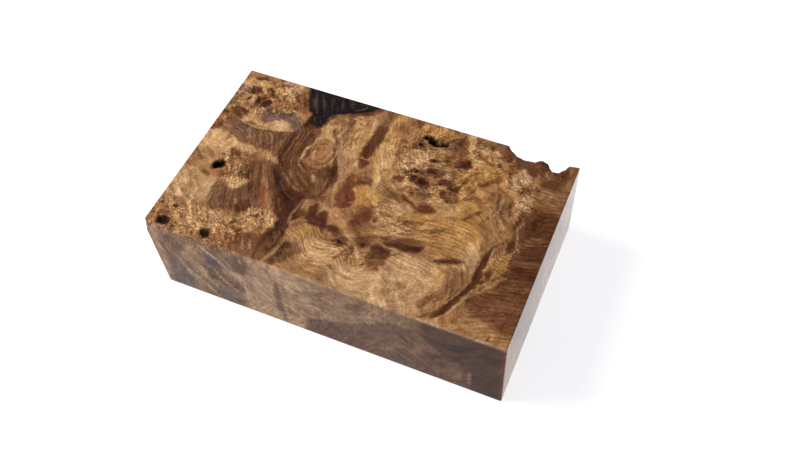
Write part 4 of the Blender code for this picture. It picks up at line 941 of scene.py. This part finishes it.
    ("cream", .6, .5, .35, (4, 60), (6, 58.4), (7, 60.4)),
    ("cream", .6, .5, .35, (14, 64.6), (16.6, 62), (18, 58.6)),
    ("cream", .5, .6, .4, (2, 37), (7, 38.4), (12, 40.4)),
    ("cream", .6, .6, .4, (3, 27), (8, 20.4), (13, 15)),
    ("cream", .6, .6, .4, (1, 22), (5, 17.6), (11, 14.6)), ("straw", .7, .5, .4, (7, 36), (11, 38.4)),
    ("cream", .6, .5, .35, (12.6, 33.6), (15.4, 35.6), (18.4, 36.4)),
    ("straw", .6, .5, .35, (16, 29), (18, 32), (19.6, 34)))

# Pin eyes, the ends of buds that never grew out: place, size along and across, turn and core tone
EYES = (
    (13.6, 61.7, 3.3, 4.2, -30, "plum"), (10.3, 61.2, 1.9, 2.2, 10, "plum"),
    (6.3, 62, 1.4, 1.9, 0, "plum"), (7.5, 56.3, 1.5, 1.5, 0, "maroon"), (9.4, 58.4, 1.2, 1, 40, "plum"),
    (8.8, 55.4, .9, .8, 0, "plum"),
    (11.6, 30.6, 3.6, 4.6, -30, "black"), (6.1, 2.9, 4.6, 3.4, 15, "plum"),
    (22.1, 3.5, 3.8, 3.4, -20, "plum"), (7.2, 9.5, 2.3, 1.5, 10, "plum"),
    (2.3, 9.5, 1.4, 1.4, 0, "maroon"), (10.5, 2, 1.2, .9, 0, "plum"),
    (76.3, 49.5, 2.2, 2.4, 0, "plum"), (79.8, 49.3, 3.3, 3.3, 20, "plum"),
    (73.4, 48.8, 1, 1.2, 0, "plum"), (85.5, 50.5, 1.6, 1.4, 0, "plum"), (80.4, 59, 3.2, 1.5, 5, "plum"),
    (73.2, 64.2, 1.9, 1.5, 0, "black"),
    (113, 22.5, 2.2, 3.8, 0, "brown"), (98.8, 3, 2.2, 2.2, 0, "caramel"), (72, 18.4, 1.6, 1.3, 0, "plum"),
    (64.2, 16.6, 1.7, 1.6, 0, "plum"), (95.6, 21.4, 1.4, 1.2, 20, "plum"),
    (71.5, 28.6, 1.6, 1.6, 0, "brown"), (8.6, 26, 2.4, 1.6, 20, "olive"),
    (81.5, 54.2, 3.4, 1.4, 0, "plum"), (76.5, 52.5, 1.8, 1.4, 0, "plum"))

# The bark inclusion: a fold of old bark, hard and black, that the burl closed over
BARK = (
    (23.8, 78), (25, 74.8), (26.5, 70.5), (28, 67), (30, 64.2), (31.5, 63.5), (31.5, 61), (31, 58),
    (32, 57.3), (32.8, 58.8), (35, 58.3),
    (36.5, 58.2), (37.5, 59.3), (38, 61.5), (38.8, 64), (40, 66), (42, 67), (44, 68.7), (46.5, 69.5),
    (48, 70.5), (50, 71.5), (52, 73), (52.7, 74.8), (53.6, 78))
BARK_STREAKS = (
    ("ash", .6, .7, .5, (27.6, 74), (30, 69.6), (33, 64)),
    ("ash", .55, .8, .5, (30.6, 74), (33.4, 69), (35.6, 63.6)),
    ("ash", .5, .7, .5, (34.6, 74), (36.4, 69.6), (38, 65.4)), ("ash", .5, .7, .5, (32.6, 63), (34, 60)),
    ("ash", .5, .9, .6, (38.4, 74), (40.4, 70)), ("ash", .5, .7, .5, (42, 74), (44, 71)),
    ("maroon", .4, 1, .7, (28.6, 71), (31, 66)),
    ("black", .7, 1.6, .9, (37.6, 62.4), (39.6, 66.4), (44, 69), (49.6, 72.4)),
    ("black", .6, 1.4, .8, (33, 73), (35.4, 67)),
    # The next two streaks are painted highlights, where the bark's edge catches the light
    ("glint", .6, .5, .5, (37.6, 62.2), (38.5, 65), (40.4, 66.4), (42.5, 67.2)),
    ("glint", .5, .5, .5, (45.4, 70.4), (47.4, 71.6), (48.6, 73.4)),
    ("ash", .5, .6, .4, (35.4, 62), (36.4, 59.4)))


# The front face, as along and height: grey-brown wood with a painted haze, the white floor's reflection
# painted into its colours, and darker to the right
FRONT_FIELDS = (
    ("tan", .8, 4, (34, -2), (34, 38), (62, 38), (62, -2)),
    ("haze", .85, 3, (60, 20), (60, 38), (102, 38), (98, 30), (90, 27), (80, 21), (70, 17)),
    ("dusk", .95, 2.4, (55, -2), (57, 8), (62, 12), (70, 15), (76, 18), (82, 22), (88, 26), (93, 26.5),
     (98, 30), (102, 38), (129, 38), (129, -2)),
    ("night", .8, 3, (99, 38), (100, 26), (104, 20), (112, 14), (118, 4), (129, -2), (129, 38)),
    ("night", .7, 2, (116, -2), (114, 10), (118, 24), (124, 38), (129, 38), (129, -2)),
    ("dusk", .95, 2, (19.6, 21), (24, 21.6), (29, 20), (33.4, 17), (34, 12), (31, 9.6), (26, 11),
     (22, 13), (19.4, 16)),
    ("slate", .75, 2.4, (3, 0), (4, 12), (6, 19), (9.6, 17), (11.6, 8), (11.4, 0)),
    ("slate", .55, 3, (19, 3), (23, 9), (31, 9), (33, 3), (28, -1)),
    ("dusk", .95, 2, (5.6, 31), (8, 33), (12, 31), (14, 27), (11.4, 24.6), (8, 27)),
    ("dusk", .95, 2, (30, 31), (34, 35), (38.4, 34), (38, 28), (35, 23), (32, 24.6), (31, 28)))
FRONT_STREAKS = (
    ("tan", .7, 5, 2.6, (13, 24), (16.6, 18), (19, 10)), ("tan", .6, 4, 2, (13.4, 24), (17.6, 30)),
    ("slate", .9, 4.6, 1.6, (23, 24.6), (24.8, 26.4)), ("slate", .5, 6, 3, (24, 27), (25, 24)),
    ("arris", .8, 1.2, .9, (19.6, 34.6), (26, 28), (33, 20)),
    ("arris", .7, 1.2, .9, (23.6, 20), (27, 14.6), (30.6, 10.6)),
    ("arris", .7, 1.2, .9, (12, 14), (17, 8), (21.6, 1)),
    ("dusk", .8, 1.4, 1, (15.6, 16), (19, 9), (24, 1)),
    ("dusk", .8, 1.6, 1, (22.6, 34), (28, 28.6), (31, 24)),
    ("dusk", .8, 1.4, 1, (2, 34), (4.4, 26), (5, 19)),
    ("dusk", .7, 1.2, 1, (9.6, 24), (11, 20), (14, 12)),
    ("arris", .6, 1.1, .9, (10.4, 17), (12.6, 11), (15.6, 5)),
    ("slate", .95, 4, 1.4, (23.4, 24.6), (25, 26.4)), ("night", .5, 2.6, 1.6, (23, 25), (24.6, 25.6)),
    ("arris", .6, 1.2, .9, (35.6, 33.4), (36.6, 30)),
    ("dusk", .5, 1.2, .9, (38.4, 8), (44, 12), (47, 12.6)),
    ("dusk", .4, 1, .8, (51, 31), (51.4, 20), (51, 8)), ("tan", .6, 1.2, 1, (38, 34), (41, 28)),
    ("tan", .7, 2, 1.4, (52.6, 22), (53, 8)),
    ("dusk", .8, (1.4, 2.4, 2.6, 2), 1.2, (48.4, 26), (47.4, 18), (47.6, 10), (48.4, 2)),
    ("dusk", .5, 1.4, 1, (46, 33.6), (45.6, 31)), ("dusk", .5, 1, .7, (20, 36), (19, 27)),
    ("dusk", .45, 1.2, .8, (15, 36), (14, 29)), ("dusk", .4, 1, .8, (55, 30), (55.6, 22)),
    ("dusk", .5, 4, 2, (75, 28), (80, 29.6)), ("dusk", .6, 3, 1.6, (58.4, 5), (61, 10)),
    ("tan", .5, .9, .7, (36, 8), (42, 18), (46, 20)),
    ("tan", .5, .9, .7, (34, 3), (40, 9), (46, 14)), ("tan", .45, .9, .7, (62, 19), (72, 21), (84, 27)),
    ("tan", .4, .9, .7, (64, 22), (74, 24.6), (86, 31)),
    ("dusk", .5, .7, .6, (50, 16), (58, 20), (70, 23)), ("tan", .5, 1, .6, (115.6, 2), (115.4, 13)),
    ("haze", .5, 1.2, .9, (112, 4), (112.6, 10)), ("haze", .4, 2, 1.4, (104, 4), (110, 12)),
    ("haze", .45, 3, 1.8, (97, 12), (99, 22)), ("haze", .4, 4, 2.4, (84, 6), (92, 14)),
    ("night", .5, 1, .8, (106, 2), (106.6, 24)), ("night", .4, 1, .8, (96, 14), (96.6, 26)),
    ("tan", .8, 2.4, 1.4, (0.4, 2), (2, 16), (3, 36)), ("red", .35, 1.4, .8, (126.2, 0), (126.4, 36)))


def stroke_share(places, path, width, softness, step=0.7):
    """The share of a brush stroke at each place: 1 inside its width, falling to 0 at its soft edge."""
    along = np.linspace(0, 1, len(path))
    widths = np.interp(along, np.linspace(0, 1, np.size(width)), np.atleast_1d(width))
    line = flowing(np.column_stack((path, widths)), step)
    if np.size(width) == 1 and len(line) > 3 * width / step:
        line[:, 2] *= 0.3 + 0.7 * np.sin(np.pi * np.linspace(0.03, 0.97, len(line))) ** 0.6
    share = np.zeros(len(places))
    margin = widths.max() / 2 + softness
    lowest, highest = line[:, :2].min(0) - margin, line[:, :2].max(0) + margin
    near = np.flatnonzero(np.all((places > lowest) & (places < highest), axis=1))
    if not len(near):
        return share
    x, y = places[near].T
    found = np.full(len(near), 1e9)
    for (ax, ay, aw), (bx, by, bw) in zip(line, line[1:]):
        dx, dy = bx - ax, by - ay
        t = np.clip(((x - ax) * dx + (y - ay) * dy) / max(dx * dx + dy * dy, 1e-9), 0, 1)
        away = np.hypot(x - ax - t * dx, y - ay - t * dy)
        found = np.minimum(found, away - (aw + t * (bw - aw)) / 2)
    share[near] = smooth(0.5 - found / softness)
    return share


def inside(places, outline):
    """Which places lie inside a closed outline."""
    found = np.zeros(len(places), bool)
    near = np.all((places > outline.min(0)) & (places < outline.max(0)), axis=1)
    x, y = places[near].T
    odd = np.zeros(len(x), bool)
    for (a, b), (c, d) in zip(outline, np.roll(outline, -1, 0)):
        odd ^= ((b > y) != (d > y)) & (x < (c - a) * (y - b) / (1e-9 if d == b else d - b) + a)
    found[near] = odd
    return found


def filled_share(places, outline, softness):
    """The share of a filled outline at each place, half at the outline itself."""
    outline = flowing((*outline, outline[0]), 1.4)[:-1]
    edge = stroke_share(places, np.vstack((outline, outline[:1])), 0.0, 2 * softness, 99)
    return np.where(inside(places, outline), 1 - edge, edge)


# How soft the marks' edges are, as a share of the softness in their rows
CRISP = 0.7


def toned(colour, tone, share):
    """A colour moved towards a named wood tone, by a share for each place."""
    return colour + (linear(TONES[tone]) - colour) * share[:, None]


def paint(colour, places, marks, strength=1.0, filled=False, whole=1.0):
    """Lay strokes or filled outlines of named wood tones over a colour, in their order."""
    for tone, share, *rest in marks:
        if filled:
            cover = filled_share(places, rest[1:], rest[0] * CRISP)
        else:
            cover = stroke_share(places, rest[2:], rest[0], rest[1] * CRISP)
        cover = smooth(cover + 0.25 * grainy * (1 - np.abs(2 * cover - 1))) * whole
        colour = toned(colour, tone, strength * share * cover)
    return colour


# Edges of marks wander a little everywhere, and run out in separate fibres along the grain
along_wood = np.stack((uphill[:, 1], -uphill[:, 0]), 1)
along_wood /= np.maximum(np.linalg.norm(along_wood, axis=1, keepdims=True), 0.2)
fibre_places = np.stack((ring, grain * 0.12, depth * 0.1), 1)
grainy = lumps(fibre_places, 0.9, 5) * 1.1 + lumps(fibre_places, 0.45, 6) * 0.6
frayed = along_wood * grainy[:, None]
wobble = np.stack((lumps(block, 2.4, 7), lumps(block, 2.4, 8)), 1) * 0.4
wobble = wobble + np.stack((lumps(block, 0.9, 19), lumps(block, 0.9, 20)), 1) * 0.3
figure_places = np.column_stack((figure, depth))
drawn_at = figure + wobble + frayed * 0.4
patchy = np.clip(0.9 + 0.5 * lumps(figure_places, 3.2, 18), 0.4, 1)

colour = linear(TONES["plain"]) * (1 + 0.22 * lumps(block, 7, 9)[:, None])
colour = toned(colour, "brown", 0.45 * smooth(lumps(block, 11, 10) * 1.6 - 0.1))
colour = paint(colour, drawn_at, AREAS)
colour = paint(colour, drawn_at, FIELDS, filled=True)
colour = paint(colour, drawn_at, STREAKS, 0.95, whole=0.5 + 0.5 * patchy)
colour = paint(colour, figure + wobble * 0.9 + frayed * 0.3, PALE, 0.62, whole=patchy)

# The front face has its own figure, which takes over just under the arris
front_places = block[:, (0, 2)] + wobble * 0.45
# Its base tone is grey-brown wood with a painted haze, the white floor's reflection
front = linear(TONES["haze"]) * (1 + 0.2 * lumps(block, 6, 15)[:, None]) + np.zeros_like(colour)
front = paint(front, front_places, FRONT_FIELDS, filled=True)
front = paint(front, front_places, FRONT_STREAKS)
on_front = smooth((1.6 - block[:, 1]) / 1.2) * smooth((depth - 0.2) / 1.6)
colour = colour + (front - colour) * (0.96 * on_front)[:, None]
# A painted highlight: a pale line along the top front arris, where its rounding catches the light
arris_highlight = smooth((0.75 - block[:, 1]) / 0.5) * smooth((1.0 - depth) / 0.6)
colour = toned(colour, "arris", 0.5 * arris_highlight)

# The right end is painted pale: a painted reflection of the white floor, which the end face shows at its
# grazing view, paler towards the back
end_reflection_share = smooth((block[:, 0] - LENGTH + 0.3) / 0.3)
end_reflection_share = end_reflection_share * (0.1 + 0.5 * smooth(block[:, 1] / 60))
colour = toned(colour, "painted_end_reflection", end_reflection_share)

# A pin eye pushes the growth lines out round it. It has a light halo, a dark body and a black dot,
# and the front face, which is cut past the eyes, shows none
for along, across, long, wide, turn, core in EYES:
    c, s = cos(radians(turn)), sin(radians(turn))
    off = figure + wobble * 1.3 - (along, across)
    off_long = (off[:, 0] * c + off[:, 1] * s) / (long / 2)
    off_wide = (off[:, 1] * c - off[:, 0] * s) / (wide / 2)
    away = np.hypot(off_long, off_wide)
    ring = ring + 0.35 * (long + wide) * np.exp(-(away / 1.3) ** 2)
    away = away + 9 * on_front
    halo = smooth((1.75 - away) / 0.5) * smooth((away - 0.9) / 0.4)
    colour = toned(colour, "caramel", 0.22 * halo)
    middle = smooth((1.25 - away) / 0.4)
    colour = toned(colour, core, 0.93 * middle)
    dot = smooth((0.62 - away) / 0.4)
    colour = toned(colour, "black", 0.55 * dot)

# The old bark stains the wood round it. The deep open hollows are painted black: their dark wood and
# painted shade
bark_places = figure + wobble * 0.8
stained = filled_share(bark_places + frayed * 0.4, BARK, 1.8)
colour = toned(colour, "deep", 0.75 * smooth(stained * 2.2))
bark = filled_share(bark_places + frayed * 0.4, BARK, 0.35)
old_bark = linear(TONES["bark"]) * (1 + 0.5 * lumps(block, 1.2, 11) + 0.5 * grainy)[:, None]
old_bark = paint(old_bark, bark_places, BARK_STREAKS)
colour = colour + (old_bark - colour) * bark[:, None]
colour = toned(colour, "black", 0.96 * hollow_black_and_shade)
specks = smooth(0.62 + 1.1 * lumps(block, 0.75, 16) + 0.5 * lumps(block, 0.4, 17))
speck_tone = toned(linear(TONES["plum"]), "black", specks)
colour = colour + (speck_tone - colour) * (speckled * (0.62 + 0.36 * specks))[:, None]

# Inside the bark the top is worn slightly lower
relief = bark * on_top * (depth < 3) * (0.16 + 0.12 * lumps(fibre_places, 0.8, 12))
block[:, 2] -= relief

for vert, place in zip(shape.verts, (block - (LENGTH / 2, WIDTH / 2, 0)) * MM):
    vert.co = place
mesh = bpy.data.meshes.new("burl_block_wood")
shape.to_mesh(mesh)
shape.free()
for face in mesh.polygons:
    face.use_smooth = True
burl = bpy.data.objects.new("burl_block_wood", mesh)
bpy.context.scene.collection.objects.link(burl)


# How strongly the fine growth lines and the short curls show: strength, width, softness, places
LINED = (
    (.85, 18, 5, (90, 24), (99, 30)), (.9, 15, 4, (49, 12), (63, 12)), (.8, 20, 5, (122, 8), (122, 56)),
    (1, 9, 3, (12, 46.4), (27, 46.4)), (.8, 18, 5, (24, 20), (26, 32)), (.65, 9, 4, (64, 44), (62, 72)),
    (.3, 10, 3, (88, 3), (92, 10)), (.7, 4, 2, (107, 34), (107.6, 22)), (1, 9, 3, (32, 56), (33, 42)),
    (.7, 6, 3, (88, 44), (91, 56)), (.7, 8, 3, (38, 32), (46, 32)), (.5, 8, 3, (51, 40), (51, 54)),
    (.5, 5, 3, (58, 74), (57.6, 54)), (.6, 8, 3, (34, 28), (41, 22)), (.4, 9, 4, (70, 44), (80, 40)))
CURLED = (
    (.85, 17, 5, (8, 62), (18, 66)), (.75, 16, 5, (74, 60), (80, 50)), (.9, 14, 5, (4, 5), (28, 6)),
    (.8, 9, 3, (32, 15), (42, 15)), (.8, 10, 4, (16, 34), (20, 29)), (.7, 9, 4, (72, 34), (80, 29)),
    (.6, 14, 5, (88, 48), (92, 66)),
    (.8, 9, 4, (110, 60), (115, 52)), (.5, 9, 4, (66, 14), (76, 14)), (.4, 9, 4, (49, 66), (50, 56)),
    (.5, 8, 4, (1, 48), (2, 56)), (.7, 8, 3, (94, 70), (104, 66)), (.6, 9, 4, (70, 70), (84, 72)),
    (.35, 5, 3, (2, 16), (7, 14)))


def strength_of(rows, floor):
    """The strongest of several soft areas at each place, above an even floor."""
    found = np.full(len(block), float(floor))
    for strength, width, softness, *path in rows:
        found = np.maximum(found, strength * stroke_share(drawn_at, path, width, softness))
    return found


side = smooth((depth - 2) / 8)
lined = strength_of(LINED, 0.1)
lined = lined + (0.55 - lined) * side
curled = strength_of(CURLED, 0.08)
curled = curled + (0.14 - curled) * side


def keep(name, kind, values):
    """Store one value for each vertex, for the material to read."""
    made = mesh.attributes.new(name, kind, "POINT")
    slot = {"FLOAT": "value", "FLOAT_VECTOR": "vector", "FLOAT_COLOR": "color"}[kind]
    made.data.foreach_set(slot, np.ascontiguousarray(values, np.float32).ravel())


opaque = np.ones(len(colour))
keep("wood_tone", "FLOAT_COLOR", np.column_stack((np.clip(colour, 0.002, 1), opaque)))

# Where the lines are less even, they wander in lumps
free = 1 - 0.8 * lined
ring = ring + free * (0.9 * lumps(figure_places, 4.5, 21) + 0.4 * lumps(figure_places, 1.9, 22))
grain = grain + free * (0.9 * lumps(figure_places, 4.5, 23) + 0.4 * lumps(figure_places, 1.9, 24))
keep("growth", "FLOAT_VECTOR", np.stack((ring, grain, depth), 1))

# The ends were polished finer than the long faces, and the hollows and the natural edge are dull
dull = np.maximum(smooth(hollow / 0.6), smooth(past_edge / 0.5) * on_top)
keep("character", "FLOAT_VECTOR", np.stack((lined * (1 - bark), curled * (1 - bark), dull), 1))
keep("polish", "FLOAT", smooth((np.abs(block[:, 0] - LENGTH / 2) - LENGTH / 2 + 0.3) / 0.25))


# Stabilized burl: resin-filled wood, sanded to a satin face. Its fine layers and fibres follow the
# growth lines, and short curls and pores break them up.
def add(material, kind, settings=(), **links):
    """Add a node with its settings and its inputs, which are values or other nodes' outputs."""
    node = material.node_tree.nodes.new(kind)
    for name, value in settings:
        setattr(node, name, value)
    for name, value in links.items():
        key = int(name[1:]) if name[1:].isdigit() else name.replace("_", " ")
        if isinstance(value, bpy.types.NodeSocket):
            material.node_tree.links.new(value, node.inputs[key])
        else:
            node.inputs[key].default_value = value
    return node


wood = bpy.data.materials.new("stabilized burl wood")
wood.use_nodes = True
wood.node_tree.nodes.clear()
output = add(wood, "ShaderNodeOutputMaterial")

# The traced tone and the growth coordinates in millimetres, which every layer below reads
tone = add(wood, "ShaderNodeAttribute", [("attribute_name", "wood_tone")])
growth = add(wood, "ShaderNodeAttribute", [("attribute_name", "growth")])
place = add(wood, "ShaderNodeTexCoord")
in_mm = add(wood, "ShaderNodeVectorMath", [("operation", "SCALE")], i0=place.outputs["Object"],
            Scale=1000.0)

character = add(wood, "ShaderNodeAttribute", [("attribute_name", "character")])
parts = add(wood, "ShaderNodeSeparateXYZ", Vector=character.outputs["Vector"])
lined, curled = parts.outputs["X"], parts.outputs["Y"]
lively = add(wood, "ShaderNodeMapRange", Value=curled, i1=0.05, i2=0.8, i3=0.25, i4=0.65)
steady = add(wood, "ShaderNodeMapRange", Value=curled, i1=0.05, i2=0.8, i3=0.45, i4=1.0)

# The growth coordinates, scaled across the lines, along them and downwards, for each texture that
# follows the layers
STRETCHED = {
    "waves": (1, 1, 1), "broken": (0.5, 0.16, 0.2), "folds": (0.2, 0.09, 0.06),
    "silk": (0.62, 0.2, 0.16), "flame": (0.12, 0.5, 0.2), "tilt": (1, 0.55, 0.5),
    "fibres": (2.2, 0.3, 0.3)}
layered = {}
for name, scales in STRETCHED.items():
    layered[name] = add(wood, "ShaderNodeVectorMath", [("operation", "MULTIPLY")],
                        i0=growth.outputs["Vector"], i1=scales).outputs[0]
real = in_mm.outputs[0]

# Growth lines: thin dark late wood, a line for about every 1.2 mm of growth, broken here and there
waves = add(wood, "ShaderNodeTexWave", [("wave_profile", "SIN")], Vector=layered["waves"], Scale=0.25,
            Distortion=3.2, Detail=3.0, Detail_Scale=0.6, Detail_Roughness=0.62)
broken = add(wood, "ShaderNodeTexNoise", i0=layered["broken"], Scale=1.0, Detail=2.0)
where = add(wood, "ShaderNodeMapRange", Value=broken.outputs["Fac"], i1=0.4, i2=0.6, i3=0.25, i4=1.0)
seen = add(wood, "ShaderNodeMath", [("operation", "MULTIPLY")], i0=lined, i1=where.outputs[0])

# Folds and silk: a painted sheen, soft light and dark where the fibres dip and rise, stretched along the
# layers
folds = add(wood, "ShaderNodeTexNoise", i0=layered["folds"], Scale=1.0, Detail=3.0, Roughness=0.5,
            Distortion=1.4)
silk = add(wood, "ShaderNodeTexNoise", i0=layered["silk"], Scale=1.0, Detail=3.0, Roughness=0.55,
           Distortion=1.8)
flame = add(wood, "ShaderNodeTexNoise", i0=layered["flame"], Scale=1.0, Detail=2.0, Distortion=1.0)

# Tilted fibres: they dip one way and rise the other, so each small fold has a lit and a dark side.
# It is the difference between one texture and the same texture moved about half a millimetre
tilts = []
for off_by in (0.0, 0.45):
    moved = add(wood, "ShaderNodeVectorMath", [("operation", "ADD")], i0=layered["tilt"],
                i1=(off_by, off_by * 0.4, 0))
    tilts.append(add(wood, "ShaderNodeTexNoise", i0=moved.outputs[0], Scale=0.36, Detail=3.0,
                     Roughness=0.5, Distortion=0.8).outputs["Fac"])
tilt = add(wood, "ShaderNodeMath", [("operation", "SUBTRACT")], i0=tilts[0], i1=tilts[1])

# Fibres: fine streaks a tenth to a third of a millimetre wide that run along the lines, and grit
fibres = add(wood, "ShaderNodeTexNoise", i0=layered["fibres"], Scale=1.0, Detail=4.0, Roughness=0.6,
             Distortion=0.3)
grit = add(wood, "ShaderNodeTexNoise", i0=real, Scale=1.5, Detail=2.0, Roughness=0.7)

# Curls: light lumps with dark creases between them, where fibres turn up round small buds
curls = add(wood, "ShaderNodeTexNoise", i0=real, Scale=0.36, Detail=6.0, Roughness=0.7, Distortion=1.2)
creases = add(wood, "ShaderNodeTexNoise", i0=real, Scale=0.55, Detail=2.0, Roughness=0.5, Distortion=3.0)
middle = add(wood, "ShaderNodeMath", [("operation", "SUBTRACT")], i0=creases.outputs["Fac"], i1=0.5)
crease = add(wood, "ShaderNodeMath", [("operation", "ABSOLUTE")], i0=middle.outputs[0])
buds = add(wood, "ShaderNodeTexVoronoi", i0=real, Scale=0.36, Randomness=1.0)

# Pores: dark pinpricks, most of them filled
pores = add(wood, "ShaderNodeTexVoronoi", i0=real, Scale=1.1, Randomness=1.0)

# Each layer of the figure: its value, the range of it that counts, the shades that this range
# gives, and how far it shows. Their shades multiply to one value
LAYERS = (
    (waves.outputs["Fac"], 0.0, 0.26, 0.5, 1.04, seen.outputs[0]),
    (folds.outputs["Fac"], 0.34, 0.64, 0.87, 1.3, 1.0),
    (silk.outputs["Fac"], 0.36, 0.6, 0.86, 1.08, 1.0),
    (flame.outputs["Fac"], 0.34, 0.64, 0.88, 1.1, 1.0),
    (tilt.outputs[0], -0.12, 0.12, 0.6, 1.2, lively.outputs[0]),
    (fibres.outputs["Fac"], 0.34, 0.66, 0.78, 1.17, steady.outputs[0]),
    (grit.outputs["Fac"], 0.36, 0.64, 0.66, 1.28, steady.outputs[0]),
    (curls.outputs["Fac"], 0.37, 0.52, 0.42, 1.16, curled),
    (crease.outputs[0], 0.0, 0.06, 0.5, 1.08, curled),
    (buds.outputs["Distance"], 0.1, 0.34, 0.5, 1.0, curled),
    (pores.outputs["Distance"], 0.05, 0.14, 0.8, 1.0, 1.0))
shading = 1.0
for value, low, high, dark, light, share in LAYERS:
    ranged = add(wood, "ShaderNodeMapRange", [("interpolation_type", "SMOOTHSTEP")], Value=value,
                 i1=low, i2=high, i3=dark, i4=light)
    shown = add(wood, "ShaderNodeMix", Factor=share, A=1.0, B=ranged.outputs[0])
    shading = add(wood, "ShaderNodeMath", [("operation", "MULTIPLY")], i0=shading,
                  i1=shown.outputs["Result"]).outputs[0]

# Wood that is shaded turns redder as it darkens, so green and blue fall faster than red
green = add(wood, "ShaderNodeMath", [("operation", "POWER")], i0=shading, i1=1.22)
blue = add(wood, "ShaderNodeMath", [("operation", "POWER")], i0=shading, i1=1.4)
warm = add(wood, "ShaderNodeCombineXYZ", X=shading, Y=green.outputs[0], Z=blue.outputs[0])
figured = add(wood, "ShaderNodeVectorMath", [("operation", "MULTIPLY")], i0=tone.outputs["Color"],
              i1=warm.outputs[0])

# A satin, slightly uneven resin face with the fibres just raised, and dull hollows
worn_map = add(wood, "ShaderNodeTexNoise", i0=real, Scale=0.12, Detail=4.0)
rough = add(wood, "ShaderNodeMapRange", Value=worn_map.outputs["Fac"], i1=0.3, i2=0.7, i3=0.3, i4=0.4)
polish = add(wood, "ShaderNodeAttribute", [("attribute_name", "polish")])
polished = add(wood, "ShaderNodeMix", Factor=polish.outputs["Fac"], A=rough.outputs[0], B=0.12)
rougher = add(wood, "ShaderNodeMix", Factor=parts.outputs["Z"], A=polished.outputs["Result"], B=0.85)
bump = add(wood, "ShaderNodeBump", Strength=0.2, Distance=0.0001, Height=fibres.outputs["Fac"])
shader = add(wood, "ShaderNodeBsdfPrincipled", Base_Color=figured.outputs[0], IOR=1.14,
             Roughness=rougher.outputs["Result"], Normal=bump.outputs[0])
wood.node_tree.links.new(shader.outputs[0], output.inputs["Surface"])
mesh.materials.append(wood)

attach(burl, "root")
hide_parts("burl_block")


# The floor: a plain white studio surface, far larger than the picture.
# It is bright enough to read as pure white, and takes a faint cool shadow.
floor_shape = bmesh.new()
bmesh.ops.create_grid(floor_shape, x_segments=4, y_segments=4, size=3.0)
floor_mesh = bpy.data.meshes.new("studio_floor")
floor_shape.to_mesh(floor_mesh)
floor_shape.free()
floor = bpy.data.objects.new("studio_floor", floor_mesh)
bpy.context.scene.collection.objects.link(floor)
paper = bpy.data.materials.new("white studio paper")
paper.use_nodes = True
paper_shader = paper.node_tree.nodes["Principled BSDF"]
paper_shader.inputs["Base Color"].default_value = (0.5, 0.5, 0.51, 1)
paper_shader.inputs["Emission Color"].default_value = (0.97, 0.97, 1.0, 1)
paper_shader.inputs["Emission Strength"].default_value = 0.78
paper_shader.inputs["Roughness"].default_value = 0.9
paper_shader.inputs["Specular IOR Level"].default_value = 0.1
floor_mesh.materials.append(paper)


# The light: one large soft source high on the left, and an even pale room.
world = bpy.data.worlds.new("studio_room")
world.use_nodes = True
world.node_tree.nodes["Background"].inputs["Color"].default_value = (0.96, 0.98, 1.0, 1)
world.node_tree.nodes["Background"].inputs["Strength"].default_value = 0.34
bpy.context.scene.world = world

lamp = bpy.data.lights.new("key_light", "AREA")
lamp.shape = "SQUARE"
lamp.size = 0.6
lamp.energy = 12.5
lamp.color = (1.0, 0.985, 0.96)
key_light = bpy.data.objects.new("key_light", lamp)
LIGHT_AWAY = 1.1
towards = Vector((-0.7, -0.14, 0.72)).normalized()
facing = (-towards).to_track_quat("-Z", "Y").to_matrix().to_4x4()
key_light.matrix_world = Matrix.Translation(towards * LIGHT_AWAY) @ facing
bpy.context.scene.collection.objects.link(key_light)


# The camera: where it stood for the photograph, in the block's frame, about 0.3 m from the block.
camera_data = bpy.data.cameras.new("photo_camera")
camera_data.lens = 39.958
camera_data.sensor_width = 36.0
camera_data.clip_start = 0.01
camera_data.clip_end = 20.0
camera = bpy.data.objects.new("photo_camera", camera_data)
camera.matrix_world = Matrix(((0.9175, -0.29763, 0.26384, 0.09251), (0.39525, 0.75636, -0.52125, -0.1578),
                              (-0.04442, 0.58253, 0.81159, 0.27004), (0, 0, 0, 1)))
bpy.context.scene.collection.objects.link(camera)
bpy.context.scene.camera = camera
bpy.context.scene.view_settings.view_transform = "Standard"
